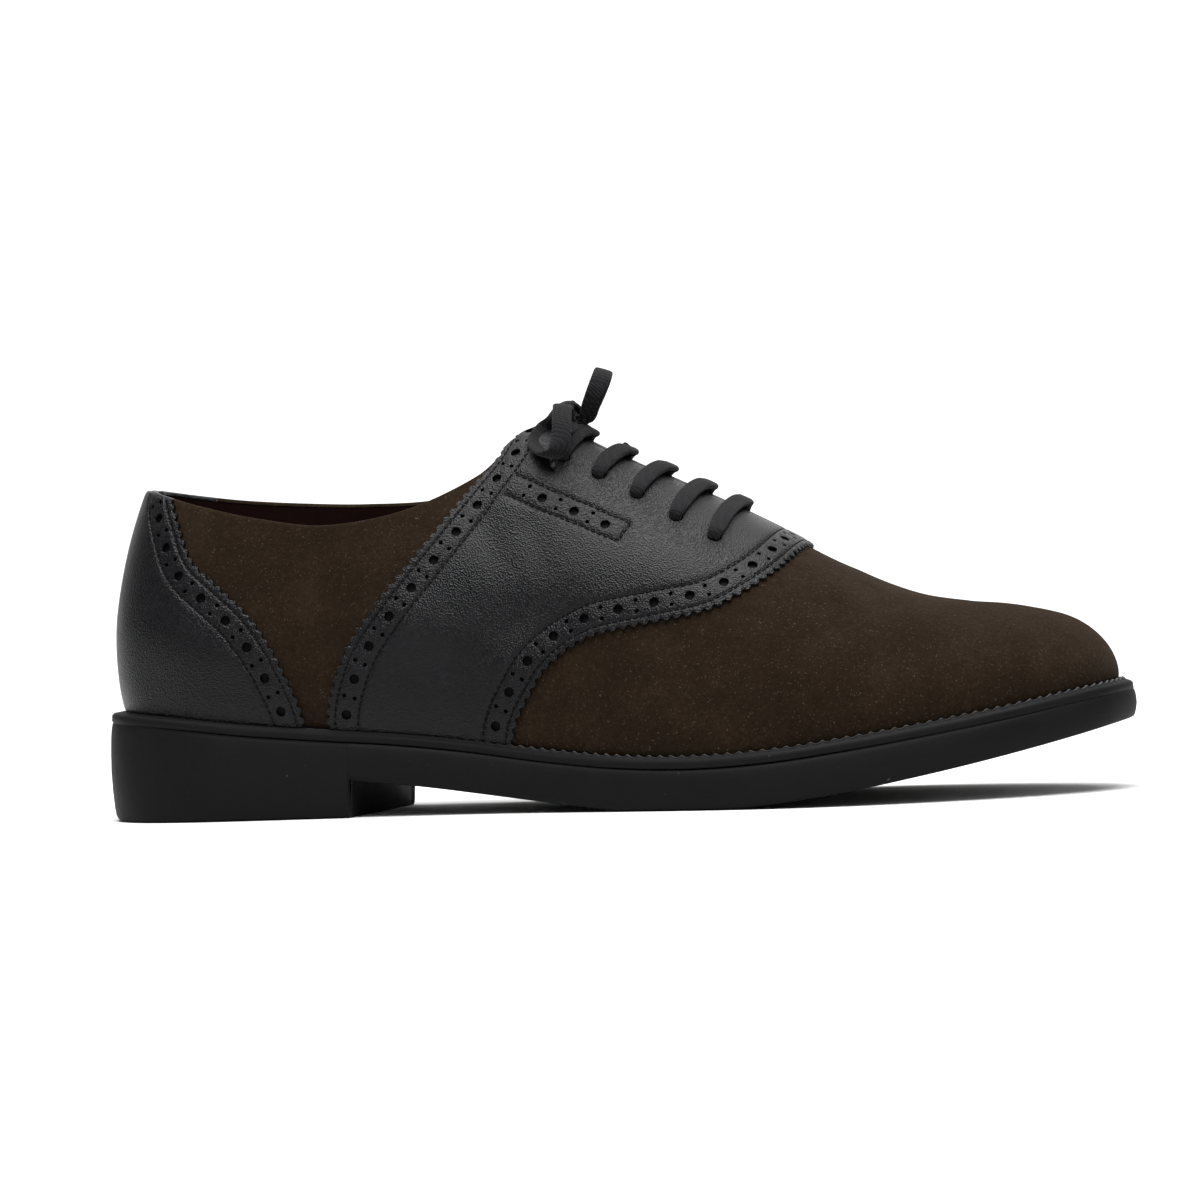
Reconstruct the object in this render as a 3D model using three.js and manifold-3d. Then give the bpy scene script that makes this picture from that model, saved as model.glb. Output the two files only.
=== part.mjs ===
// A laced saddle brogue shoe for the right foot, standing empty on its sole.
// Millimetres. +X points to the toe, +Y to the inner (medial) side, +Z up.
// Tables give lengths as shares of the sizes that they follow. Their x starts at the back of the heel,
// and the whole shoe is moved back at the end, so that the origin is the middle of the heel's bottom.
import * as THREE from 'three';
import { mergeVertices } from 'three/addons/utils/BufferGeometryUtils.js';
import Module from 'manifold-3d';

const solids = await Module();
solids.setup();

// Driving sizes of the sole
const soleLength = 304.5;
const ballWidth = 108;
const heelHeight = 33;
const toeSpring = 20;
const springStart = 190;
const springCurve = 1.4;
const waistHeight = 10.8;
const waistEnd = 160;
const breastX = 82.5;
const breastSkew = 0.06;
const heelRestX = 40;
const soleDraft = 0.9;
const welt = { thickness: 3, slope: 1.6, inward: 3 };
const insoleRise = 1.6;

// Driving sizes of the upper
const instepHeight = 110.8;
const upperMargin = 5;
const upperSwell = 4;
const wallLean = 2.6;
const swellRise = 0.65;
const upperWall = 2;
const overlay = 1.2;
const tongueThickness = 2;
const tongue = { fromRow: 8.15, toRow: 11.3, rise: 0.72, rowSteps: 7, riseSteps: 4 };
const eyelet = { radius: 1.5, toolLength: 10, sides: 8 };

// Driving sizes of the lace
const lace = { width: 5.5, thickness: 1.5, barWidth: 4.6, overhang: 0.03, barSteps: 5, sides: 8 };
const knot = { x: 142.8, y: 0.8, z: 114.4, length: 8.6, width: 10.4, height: 7.6, tilt: 0.42, sides: 12, rings: 8 };
const aglet = { radius: 1.15, sides: 8 };

// The clearance that touching pieces keep, and how finely the surfaces are cut
const gap = 0.3;
const tongueClearance = 0.7;
const stepsPerRow = 3;
const ribSteps = 8;
const reach = 90;
const below = 1.3;
const rowNudge = 0.05;
const riseNudge = 0.02;

// Rows run from the back of the heel to the toe on both sides of the foot.
// along, lateral and medial: the sole's outline, as shares of soleLength and of half the ballWidth.
// margin: how far the upper's foot stands in from that outline, as a share of upperMargin.
// topAlong: where the rib that starts at this row ends, as a share of soleLength.
// ridge: how far that end's middle lies to the medial side, and open: how far the edge is from it,
// both as shares of half the ballWidth; topLateral and topMedial: its height, of instepHeight.
// arch: 0 for an upright wall, 1 for an arch that closes over the foot; full: how square the arch is.
// bellyLateral and bellyMedial: how far the wall swells past its foot, as shares of upperSwell.
const rows = [
  { along: 0, lateral: 0, medial: 0, margin: 1.36, topAlong: 0.051, ridge: 0, open: 0,
    topLateral: 0.885, topMedial: 0.885, arch: 0, full: 2, bellyLateral: 0.6, bellyMedial: 0.6 },
  { along: 0.013, lateral: 0.287, medial: 0.287, margin: 1.28, topAlong: 0.057, ridge: 0, open: 0.176,
    topLateral: 0.88, topMedial: 0.882, arch: 0, full: 2, bellyLateral: 0.625, bellyMedial: 0.625 },
  { along: 0.046, lateral: 0.5, medial: 0.5, margin: 1.08, topAlong: 0.078, ridge: 0, open: 0.333,
    topLateral: 0.861, topMedial: 0.872, arch: 0, full: 2, bellyLateral: 0.7, bellyMedial: 0.7 },
  { along: 0.099, lateral: 0.62, medial: 0.62, margin: 0.92, topAlong: 0.12, ridge: 0, open: 0.454,
    topLateral: 0.826, topMedial: 0.855, arch: 0, full: 2, bellyLateral: 0.8, bellyMedial: 0.8 },
  { along: 0.164, lateral: 0.657, medial: 0.648, margin: 0.84, topAlong: 0.179, ridge: 0, open: 0.512,
    topLateral: 0.786, topMedial: 0.84, arch: 0.02, full: 2, bellyLateral: 0.9, bellyMedial: 0.9 },
  { along: 0.236, lateral: 0.657, medial: 0.639, margin: 0.76, topAlong: 0.246, ridge: 0, open: 0.52,
    topLateral: 0.761, topMedial: 0.83, arch: 0.06, full: 2, bellyLateral: 1, bellyMedial: 1.1 },
  { along: 0.315, lateral: 0.657, medial: 0.602, margin: 0.72, topAlong: 0.32, ridge: 0.004, open: 0.457,
    topLateral: 0.792, topMedial: 0.834, arch: 0.18, full: 1.95, bellyLateral: 1, bellyMedial: 1.25 },
  { along: 0.394, lateral: 0.676, medial: 0.565, margin: 0.72, topAlong: 0.385, ridge: 0.009, open: 0.291,
    topLateral: 0.876, topMedial: 0.884, arch: 0.55, full: 1.8, bellyLateral: 0.85, bellyMedial: 1.25 },
  { along: 0.466, lateral: 0.75, medial: 0.593, margin: 0.76, topAlong: 0.441, ridge: 0.013, open: 0.056,
    topLateral: 1, topMedial: 1, arch: 0.92, full: 1.7, bellyLateral: 0.65, bellyMedial: 1.1 },
  { along: 0.539, lateral: 0.861, medial: 0.694, margin: 0.8, topAlong: 0.522, ridge: 0.026, open: 0.048,
    topLateral: 0.905, topMedial: 0.905, arch: 1, full: 1.7, bellyLateral: 0.5, bellyMedial: 0.8 },
  { along: 0.611, lateral: 0.963, medial: 0.833, margin: 0.84, topAlong: 0.601, ridge: 0.046, open: 0.044,
    topLateral: 0.8, topMedial: 0.8, arch: 1, full: 1.78, bellyLateral: 0.4, bellyMedial: 0.55 },
  { along: 0.683, lateral: 1.009, medial: 0.954, margin: 0.88, topAlong: 0.665, ridge: 0.065, open: 0,
    topLateral: 0.708, topMedial: 0.708, arch: 1, full: 1.9, bellyLateral: 0.35, bellyMedial: 0.4 },
  { along: 0.755, lateral: 0.981, medial: 0.991, margin: 0.92, topAlong: 0.729, ridge: 0.083, open: 0,
    topLateral: 0.607, topMedial: 0.607, arch: 1, full: 2, bellyLateral: 0.3, bellyMedial: 0.325 },
  { along: 0.828, lateral: 0.861, medial: 0.926, margin: 0.94, topAlong: 0.79, ridge: 0.094, open: 0,
    topLateral: 0.532, topMedial: 0.532, arch: 1, full: 2.1, bellyLateral: 0.275, bellyMedial: 0.275 },
  { along: 0.893, lateral: 0.7, medial: 0.787, margin: 0.96, topAlong: 0.839, ridge: 0.1, open: 0,
    topLateral: 0.503, topMedial: 0.503, arch: 1, full: 2.08, bellyLateral: 0.25, bellyMedial: 0.25 },
  { along: 0.946, lateral: 0.49, medial: 0.611, margin: 0.98, topAlong: 0.873, ridge: 0.102, open: 0,
    topLateral: 0.492, topMedial: 0.492, arch: 1, full: 2, bellyLateral: 0.225, bellyMedial: 0.225 },
  { along: 0.982, lateral: 0.25, medial: 0.398, margin: 1, topAlong: 0.897, ridge: 0.1, open: 0,
    topLateral: 0.479, topMedial: 0.479, arch: 1, full: 1.9, bellyLateral: 0.2, bellyMedial: 0.2 },
  { along: 1, lateral: -0.074, medial: 0.074, margin: 1, topAlong: 0.911, ridge: 0.098, open: 0,
    topLateral: 0.469, topMedial: 0.469, arch: 1, full: 1.85, bellyLateral: 0.2, bellyMedial: 0.2 },
];

// The height of the sole's upper edge, as a share of heelHeight
const soleTop = [
  { along: 0, height: 1 },
  { along: 0.026, height: 0.985 },
  { along: 0.1, height: 0.912 },
  { along: 0.168, height: 0.836 },
  { along: 0.24, height: 0.774 },
  { along: 0.31, height: 0.718 },
  { along: 0.38, height: 0.638 },
  { along: 0.456, height: 0.533 },
  { along: 0.529, height: 0.464 },
  { along: 0.601, height: 0.445 },
  { along: 0.673, height: 0.482 },
  { along: 0.742, height: 0.56 },
  { along: 0.811, height: 0.655 },
  { along: 0.88, height: 0.762 },
  { along: 0.949, height: 0.885 },
  { along: 1, height: 0.967 },
];

// The hollow under the waist, as shares of the way from the heel's breast to waistEnd and of waistHeight
const waistLine = [
  { along: 0, height: 1 },
  { along: 0.25, height: 0.79 },
  { along: 0.5, height: 0.52 },
  { along: 0.75, height: 0.25 },
  { along: 1, height: 0 },
];

// The sole's side wall: depth as a share of its height, and how far it stands in, of soleDraft
const soleWall = [
  { depth: 0, inset: 0.78 },
  { depth: 0.2, inset: 0.22 },
  { depth: 0.55, inset: 0 },
  { depth: 1, inset: 1 },
];

// Panel edges seen from the side: x as shares of soleLength, height as a share of instepHeight
const saddleRear = [
  { height: 0.1, lateral: 0.242, medial: 0.214 },
  { height: 0.269, lateral: 0.246, medial: 0.22 },
  { height: 0.36, lateral: 0.255, medial: 0.243 },
  { height: 0.45, lateral: 0.269, medial: 0.264 },
  { height: 0.54, lateral: 0.293, medial: 0.287 },
  { height: 0.63, lateral: 0.32, medial: 0.312 },
  { height: 0.713, lateral: 0.345, medial: 0.336 },
  { height: 0.782, lateral: 0.365, medial: 0.354 },
  { height: 0.862, lateral: 0.388, medial: 0.374 },
  { height: 0.935, lateral: 0.409, medial: 0.396 },
  { height: 1.2, lateral: 0.44, medial: 0.44 },
];
const saddleFront = [
  { height: 1.2, lateral: 0.71, medial: 0.71 },
  { height: 0.68, lateral: 0.702, medial: 0.702 },
  { height: 0.65, lateral: 0.696, medial: 0.694 },
  { height: 0.588, lateral: 0.675, medial: 0.656 },
  { height: 0.53, lateral: 0.643, medial: 0.594 },
  { height: 0.491, lateral: 0.609, medial: 0.552 },
  { height: 0.47, lateral: 0.562, medial: 0.523 },
  { height: 0.445, lateral: 0.508, medial: 0.494 },
  { height: 0.38, lateral: 0.467, medial: 0.447 },
  { height: 0.3, lateral: 0.445, medial: 0.413 },
  { height: 0.215, lateral: 0.429, medial: 0.389 },
  { height: 0.1, lateral: 0.424, medial: 0.384 },
];
const counterFront = [
  { height: 0.1, lateral: 0.225, medial: 0.214 },
  { height: 0.277, lateral: 0.223, medial: 0.213 },
  { height: 0.373, lateral: 0.21, medial: 0.209 },
  { height: 0.465, lateral: 0.193, medial: 0.197 },
  { height: 0.543, lateral: 0.172, medial: 0.178 },
  { height: 0.61, lateral: 0.146, medial: 0.152 },
  { height: 0.683, lateral: 0.117, medial: 0.12 },
  { height: 0.774, lateral: 0.102, medial: 0.104 },
  { height: 0.876, lateral: 0.09, medial: 0.095 },
  { height: 1.2, lateral: 0.086, medial: 0.09 },
];

// Pairs of eyelets, from the front one to the one under the knot: the row at which the lace's bar crosses
// the throat, how far back in rows its ends lean, and how far up the rib they go in
const eyelets = [
  { row: 10.48, lean: 0.2, rise: 0.785 },
  { row: 9.98, lean: 0.2, rise: 0.785 },
  { row: 9.5, lean: 0.2, rise: 0.785 },
  { row: 9.03, lean: 0.2, rise: 0.785 },
  { row: 8.57, lean: 0.2, rise: 0.785 },
];

// The bow, as points chosen by hand: x from the back of the heel, y to the medial side, z up.
// side is the direction of the lace's width there.
const bow = {
  lace_loop_top: {
    side: [0.95, 0, -0.32],
    points: [
      [149.5, -1.4, 113.6], [150.8, -5, 117.3], [152.1, -6.6, 121.6], [153.4, -4.2, 125.4],
      [154, 0.8, 127.3], [153.4, 5.8, 125.4], [152.1, 8.2, 121.6], [150.8, 6.6, 117.3], [149.5, 3, 113.6],
    ],
  },
  lace_loop_side: {
    side: [0.75, 0.6, -0.2],
    points: [
      [143.6, -6.4, 115.2], [143.2, -10.8, 115], [142.8, -15.6, 112.8], [142.4, -20, 108.8],
      [140.6, -23.2, 104.2], [136.4, -21.6, 103.2], [132.8, -17.2, 105.8], [131.8, -11.6, 110], [134, -6.8, 114],
      [138, -6, 116.6],
    ],
  },
  lace_end_medial: {
    side: [1, 0, -0.35],
    points: [
      [143.2, 7, 112], [142.6, 10.9, 110], [141.8, 15, 106.9], [140.6, 18.5, 102.4],
      [139, 21.4, 96.9], [136.9, 23.8, 91.9], [134.4, 25.9, 87.4],
    ],
  },
  lace_end_lateral: {
    side: [1, 0, -0.4],
    points: [[144, -5.2, 111.6], [143.8, -9, 110.8], [143, -12.6, 108.6]],
  },
};
const aglets = {
  aglet_medial: [[134.2, 26.1, 87], [126.2, 30.4, 73.7]],
  aglet_lateral: [[142.86, -13.2, 108.2], [141.4, -20.8, 98.6]],
};

const last = rows.length - 1;
const throatEnd = rows.findLastIndex((r) => r.open > 0);

function mix(a, b, share) {
  return a + (b - a) * share;
}

// The smooth value halfway between b and c, as share says, with a and d as their neighbours
function smooth(a, b, c, d, share) {
  const slopeB = (c - a) / 2;
  const slopeC = (d - b) / 2;
  const s2 = share * share;
  const s3 = s2 * share;
  return (2 * s3 - 3 * s2 + 1) * b + (s3 - 2 * s2 + share) * slopeB
    + (3 * s2 - 2 * s3) * c + (s3 - s2) * slopeC;
}

// A column of rows as a closed ring: up the medial side to the toe and back along the lateral one
function ringOf(medial, lateral) {
  const ring = rows.map(medial);
  for (let k = last - 1; k > 0; k -= 1) {
    ring.push(lateral(rows[k]));
  }
  return ring;
}

function onRing(ring, u) {
  const n = ring.length;
  const i = Math.floor(u);
  const at = (k) => ring[((k % n) + n) % n];
  return smooth(at(i - 1), at(i), at(i + 1), at(i + 2), u - i);
}

// A table's column at a place along another column that rises
function onTable(table, place, column, key) {
  let i = 0;
  while (i < table.length - 2 && table[i + 1][key] < place) {
    i += 1;
  }
  const slope = (k) => {
    const a = table[Math.max(k - 1, 0)];
    const b = table[Math.min(k + 1, table.length - 1)];
    return (b[column] - a[column]) / (b[key] - a[key]);
  };
  const low = table[i];
  const high = table[i + 1];
  const span = high[key] - low[key];
  const share = Math.min(Math.max((place - low[key]) / span, 0), 1);
  const s2 = share * share;
  const s3 = s2 * share;
  return (2 * s3 - 3 * s2 + 1) * low[column] + (s3 - 2 * s2 + share) * span * slope(i)
    + (3 * s2 - 2 * s3) * high[column] + (s3 - s2) * span * slope(i + 1);
}

const half = ballWidth / 2;
const rings = {
  x: ringOf((r) => r.along * soleLength, (r) => r.along * soleLength),
  y: ringOf((r) => r.medial * half, (r) => -r.lateral * half),
  margin: ringOf((r) => r.margin * upperMargin, (r) => r.margin * upperMargin),
  topX: ringOf((r) => r.topAlong * soleLength, (r) => r.topAlong * soleLength),
  ridge: ringOf((r) => r.ridge * half, (r) => r.ridge * half),
  open: ringOf((r) => r.open * half, (r) => -r.open * half),
  topZ: ringOf((r) => r.topMedial * instepHeight, (r) => r.topLateral * instepHeight),
  arch: ringOf((r) => r.arch, (r) => r.arch),
  full: ringOf((r) => r.full, (r) => r.full),
  belly: ringOf((r) => r.bellyMedial * upperSwell, (r) => r.bellyLateral * upperSwell),
};

function soleTopAt(x) {
  return heelHeight * onTable(soleTop, x / soleLength, 'height', 'along');
}

function soleBottomAt(x) {
  const share = Math.max(x - springStart, 0) / (soleLength - springStart);
  return toeSpring * share ** springCurve;
}

// The sole's outline at u, moved in by inset, with the outward direction
function outlineAt(u, inset) {
  const dx = onRing(rings.x, u + rowNudge) - onRing(rings.x, u - rowNudge);
  const dy = onRing(rings.y, u + rowNudge) - onRing(rings.y, u - rowNudge);
  const long = Math.hypot(dx, dy);
  const out = { x: -dy / long, y: dx / long };
  return {
    x: onRing(rings.x, u) - out.x * inset,
    y: onRing(rings.y, u) - out.y * inset,
    out,
  };
}

// A point of the upper's outer surface: u is the row round the foot and v runs from the sole to the top
function upperAt(u, v) {
  const foot = outlineAt(u, onRing(rings.margin, u));
  const medial = u <= last;
  const edge = onRing(rings.open, u);
  const openness = medial ? Math.max(edge, 0) : Math.min(edge, 0);
  const top = {
    x: onRing(rings.topX, u),
    y: onRing(rings.ridge, u) + openness,
    z: onRing(rings.topZ, u),
  };
  if (v >= 1) {
    return new THREE.Vector3(top.x, top.y, top.z);
  }
  const arch = Math.min(Math.max(onRing(rings.arch, u), 0), 1);
  const power = 2 / onRing(rings.full, u);
  const turn = v * Math.PI / 2;
  const inward = mix(v ** wallLean, 1 - Math.cos(turn) ** power, arch);
  const upward = mix(v, Math.sin(turn) ** power, arch);
  const swell = onRing(rings.belly, u) * Math.sin(Math.PI * v ** swellRise);
  const bottom = soleTopAt(foot.x) + gap;
  return new THREE.Vector3(
    mix(foot.x, top.x, inward) + foot.out.x * swell,
    mix(foot.y, top.y, inward) + foot.out.y * swell,
    mix(bottom, top.z, upward),
  );
}

// An open surface of welded points and faces from a grid of points
function surfaceOf(columns, count, wraps) {
  const positions = columns.flat().flatMap((p) => [p.x, p.y, p.z]);
  const faces = [];
  const width = columns.length;
  for (let i = 0; i < (wraps ? width : width - 1); i += 1) {
    const j = (i + 1) % width;
    for (let k = 0; k < count; k += 1) {
      const a = i * (count + 1) + k;
      const b = j * (count + 1) + k;
      faces.push([a, b + 1, b], [a, a + 1, b + 1]);
    }
  }
  const geometry = new THREE.BufferGeometry();
  geometry.setAttribute('position', new THREE.Float32BufferAttribute(positions, 3));
  geometry.setIndex(faces.flat());
  const welded = mergeVertices(geometry, 0.001);
  const index = welded.getIndex().array;
  const place = welded.getAttribute('position');
  const points = [];
  for (let i = 0; i < place.count; i += 1) {
    points.push(new THREE.Vector3(place.getX(i), place.getY(i), place.getZ(i)));
  }
  const kept = [];
  for (let i = 0; i < index.length; i += 3) {
    const [a, b, c] = [index[i], index[i + 1], index[i + 2]];
    if (a !== b && b !== c && c !== a) {
      kept.push([a, b, c]);
    }
  }
  return { points, faces: kept };
}

// The averaged outward direction at each point of a surface
function normalsOf(surface) {
  const normals = surface.points.map(() => new THREE.Vector3());
  for (const [a, b, c] of surface.faces) {
    const ab = surface.points[b].clone().sub(surface.points[a]);
    const ac = surface.points[c].clone().sub(surface.points[a]);
    const normal = ab.cross(ac);
    normals[a].add(normal);
    normals[b].add(normal);
    normals[c].add(normal);
  }
  return normals.map((normal) => normal.normalize());
}

function geometryOf(points, faces) {
  const geometry = new THREE.BufferGeometry();
  const positions = points.flatMap((p) => [p.x, p.y, p.z]);
  geometry.setAttribute('position', new THREE.Float32BufferAttribute(positions, 3));
  geometry.setIndex(faces.flat());
  return geometry;
}

// A closed wall between two heights above a surface. level keeps the points at its foot level.
function wallOf(surface, low, high, level) {
  const normals = normalsOf(surface);
  if (level) {
    level.forEach((i) => normals[i].setZ(0).normalize());
  }
  const count = surface.points.length;
  const lift = (height) => surface.points.map((p, i) => p.clone().addScaledVector(normals[i], height));
  const points = [...lift(high), ...lift(low)];
  const faces = [...surface.faces];
  const edges = new Map();
  for (const [a, b, c] of surface.faces) {
    faces.push([a + count, c + count, b + count]);
    for (const [from, to] of [[a, b], [b, c], [c, a]]) {
      edges.set(`${from},${to}`, [from, to]);
    }
  }
  for (const [from, to] of edges.values()) {
    if (!edges.has(`${to},${from}`)) {
      faces.push([from, from + count, to + count], [from, to + count, to]);
    }
  }
  return geometryOf(points, faces);
}

function solidOf(geometry) {
  const index = geometry.getIndex();
  return new solids.Manifold(new solids.Mesh({
    numProp: 3,
    vertProperties: new Float32Array(geometry.getAttribute('position').array),
    triVerts: new Uint32Array(index.array),
  }));
}

function geometryFrom(solid) {
  const mesh = solid.getMesh();
  const geometry = new THREE.BufferGeometry();
  geometry.setAttribute('position', new THREE.BufferAttribute(new Float32Array(mesh.vertProperties), 3));
  geometry.setIndex(new THREE.BufferAttribute(new Uint32Array(mesh.triVerts), 1));
  return geometry;
}

// A closed body from rings of points, each joined to the next, with ruled ends across the foot
function lofted(loops) {
  const n = loops[0].length;
  const points = loops.flat();
  const faces = [];
  for (let j = 0; j < loops.length - 1; j += 1) {
    for (let i = 0; i < n; i += 1) {
      const a = j * n + i;
      const b = j * n + (i + 1) % n;
      faces.push([a, b, b + n], [a, b + n, a + n]);
    }
  }
  const base = (loops.length - 1) * n;
  for (let i = 0; i < n / 2; i += 1) {
    const medial = [i, i + 1];
    const lateral = [(n - i) % n, n - i - 1];
    if (medial[0] !== lateral[0]) {
      faces.push([medial[0], lateral[0], medial[1]]);
      faces.push([base + medial[0], base + medial[1], base + lateral[0]]);
    }
    if (medial[1] !== lateral[1]) {
      faces.push([medial[1], lateral[0], lateral[1]]);
      faces.push([base + medial[1], base + lateral[1], base + lateral[0]]);
    }
  }
  return geometryOf(points, faces);
}

// The places round the foot at which the surfaces are cut, from the heel up the medial side
function around() {
  const steps = last * stepsPerRow;
  return Array.from({ length: 2 * steps }, (_, i) => i / stepsPerRow);
}

function loopAt(inset, heightAt) {
  return around().map((u) => {
    const p = outlineAt(u, inset(u));
    return new THREE.Vector3(p.x, p.y, heightAt(p.x));
  });
}

// A solid between two side outlines, one at each end of its run across the foot
function prism(nearOutline, nearY, farOutline, farY) {
  const shape = nearOutline.map(([x, z]) => new THREE.Vector2(x, z));
  const clockwise = THREE.ShapeUtils.isClockWise(shape);
  const near = clockwise ? [...nearOutline].reverse() : nearOutline;
  const far = clockwise ? [...farOutline].reverse() : farOutline;
  const n = near.length;
  const points = [
    ...near.map(([x, z]) => new THREE.Vector3(x, nearY, z)),
    ...far.map(([x, z]) => new THREE.Vector3(x, farY, z)),
  ];
  const caps = THREE.ShapeUtils.triangulateShape(near.map(([x, z]) => new THREE.Vector2(x, z)), []);
  const faces = caps.flatMap(([a, b, c]) => [[a, b, c], [a + n, c + n, b + n]]);
  for (let i = 0; i < n; i += 1) {
    const j = (i + 1) % n;
    faces.push([i, i + n, j + n], [i, j + n, j]);
  }
  return solidOf(geometryOf(points, faces));
}

function outsoleGeometry() {
  const topAt = (x) => soleTopAt(x) - welt.thickness - gap;
  const loops = soleWall.map(({ depth, inset }) => {
    const heightAt = (x) => mix(topAt(x), soleBottomAt(x), depth);
    return loopAt(() => inset * soleDraft, heightAt);
  });
  const block = solidOf(lofted(loops));
  const hollow = (y) => {
    const start = breastX + breastSkew * y;
    const line = waistLine.map(({ along, height }) => [mix(start, waistEnd, along), height * waistHeight]);
    return [[start, -below], ...line, [waistEnd, -below]];
  };
  return geometryFrom(block.subtract(prism(hollow(-reach), -reach, hollow(reach), reach)));
}

function weltGeometry() {
  const outer = () => soleWall[0].inset * soleDraft;
  const inner = (u) => onRing(rings.margin, u) + welt.inward;
  const low = (x) => soleTopAt(x) - welt.thickness;
  const outerLow = loopAt(outer, low);
  const outerTop = loopAt(() => outer() + welt.slope, soleTopAt);
  const innerTop = loopAt(inner, soleTopAt);
  const innerLow = loopAt(inner, low);
  const n = outerLow.length;
  const points = [...outerLow, ...outerTop, ...innerTop, ...innerLow];
  const faces = [];
  for (let j = 0; j < 4; j += 1) {
    for (let i = 0; i < n; i += 1) {
      const a = j * n + i;
      const b = j * n + (i + 1) % n;
      const c = ((j + 1) % 4) * n + i;
      const d = ((j + 1) % 4) * n + (i + 1) % n;
      faces.push([a, d, b], [a, c, d]);
    }
  }
  return geometryOf(points, faces);
}

function insoleGeometry() {
  const inset = (u) => onRing(rings.margin, u) + welt.inward + gap;
  const topAt = (x) => soleTopAt(x) + insoleRise;
  const lowAt = (x) => soleTopAt(x) - welt.thickness;
  return lofted([loopAt(inset, topAt), loopAt(inset, lowAt)]);
}

// The upper's surface, with the numbers of the points along its foot
function upperSurface(start) {
  const columns = around().map((u) => {
    const rises = Array.from({ length: ribSteps + 1 }, (_, k) => mix(start, 1, k / ribSteps));
    return rises.map((v) => upperAt(u, v));
  });
  const surface = surfaceOf(columns, ribSteps, true);
  const feet = new Set(columns.map((column) => `${column[0].x.toFixed(2)},${column[0].y.toFixed(2)}`));
  surface.foot = surface.points
    .map((p, i) => [`${p.x.toFixed(2)},${p.y.toFixed(2)}`, i])
    .filter(([key]) => feet.has(key))
    .map(([, i]) => i);
  return surface;
}

// Cylinders through the facings where the lace goes in
function eyeletTools() {
  return eyelets.flatMap(({ row, lean, rise }) => [row - lean, 2 * last - row + lean].map((u) => {
    const centre = upperAt(u, rise);
    const along = upperAt(u + rowNudge, rise).sub(upperAt(u - rowNudge, rise));
    const up = upperAt(u, rise + riseNudge).sub(upperAt(u, rise - riseNudge));
    const normal = along.cross(up).normalize();
    const hole = new THREE.CylinderGeometry(eyelet.radius, eyelet.radius, eyelet.toolLength, eyelet.sides);
    hole.applyQuaternion(new THREE.Quaternion().setFromUnitVectors(new THREE.Vector3(0, 1, 0), normal));
    hole.translate(centre.x, centre.y, centre.z);
    hole.deleteAttribute('normal');
    hole.deleteAttribute('uv');
    return solidOf(mergeVertices(hole));
  }));
}

function punched(solid) {
  return eyeletTools().reduce((left, tool) => left.subtract(tool), solid);
}

function panelOutline(rear, front, side) {
  const toPoint = (row) => [row[side] * soleLength, row.height * instepHeight];
  return [...rear.map(toPoint), ...front.map(toPoint)];
}

function overlayShell(surface) {
  return solidOf(wallOf(surface, gap, gap + overlay, surface.foot));
}

function saddleGeometry(surface) {
  const middle = rows[throatEnd].ridge * half;
  const lateral = panelOutline(saddleRear, saddleFront, 'lateral');
  const medial = panelOutline(saddleRear, saddleFront, 'medial');
  const cut = prism(lateral, -reach, lateral, middle).add(prism(medial, middle, medial, reach));
  return geometryFrom(punched(overlayShell(surface).intersect(cut)));
}

function counterGeometry(surface) {
  const behind = [
    { height: 1.2, lateral: -0.1, medial: -0.1 },
    { height: 0.1, lateral: -0.1, medial: -0.1 },
  ];
  const lateral = panelOutline(counterFront, behind, 'lateral');
  const medial = panelOutline(counterFront, behind, 'medial');
  const cut = prism(lateral, -reach, lateral, 0).add(prism(medial, 0, medial, reach));
  return geometryFrom(overlayShell(surface).intersect(cut));
}

// A strip across the top of the foot between two rows, from rise on one side to rise on the other.
// lean is how many rows its ends lie further back than its middle.
function strip(fromRow, toRow, rowSteps, rise, riseSteps, lean) {
  const columns = Array.from({ length: rowSteps + 1 }, (_, i) => {
    const row = mix(fromRow, toRow, i / rowSteps);
    const rises = Array.from({ length: riseSteps + 1 }, (__, k) => mix(rise, 1, k / riseSteps));
    const rowAt = (v) => row - lean * (1 - v) / (1 - rise);
    const medial = rises.map((v) => upperAt(rowAt(v), v));
    const lateral = rises.map((v) => upperAt(2 * last - rowAt(v), v)).reverse();
    return [...medial, ...lateral];
  });
  return surfaceOf(columns, 2 * riseSteps + 1, false);
}

function tongueGeometry() {
  const { fromRow, toRow, rise, rowSteps, riseSteps } = tongue;
  const surface = strip(fromRow, toRow, rowSteps, rise, riseSteps, 0);
  const high = -upperWall - tongueClearance;
  return wallOf(surface, high - tongueThickness, high);
}

function barGeometry({ row, lean, rise }) {
  const rowLength = soleLength * (rows[throatEnd].topAlong - rows[throatEnd - 1].topAlong);
  const reachRows = lace.barWidth / 2 / rowLength;
  const surface = strip(row - reachRows, row + reachRows, 1, rise - lace.overhang, lace.barSteps, lean);
  const low = gap + overlay + gap;
  return wallOf(surface, low, low + lace.thickness);
}

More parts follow.
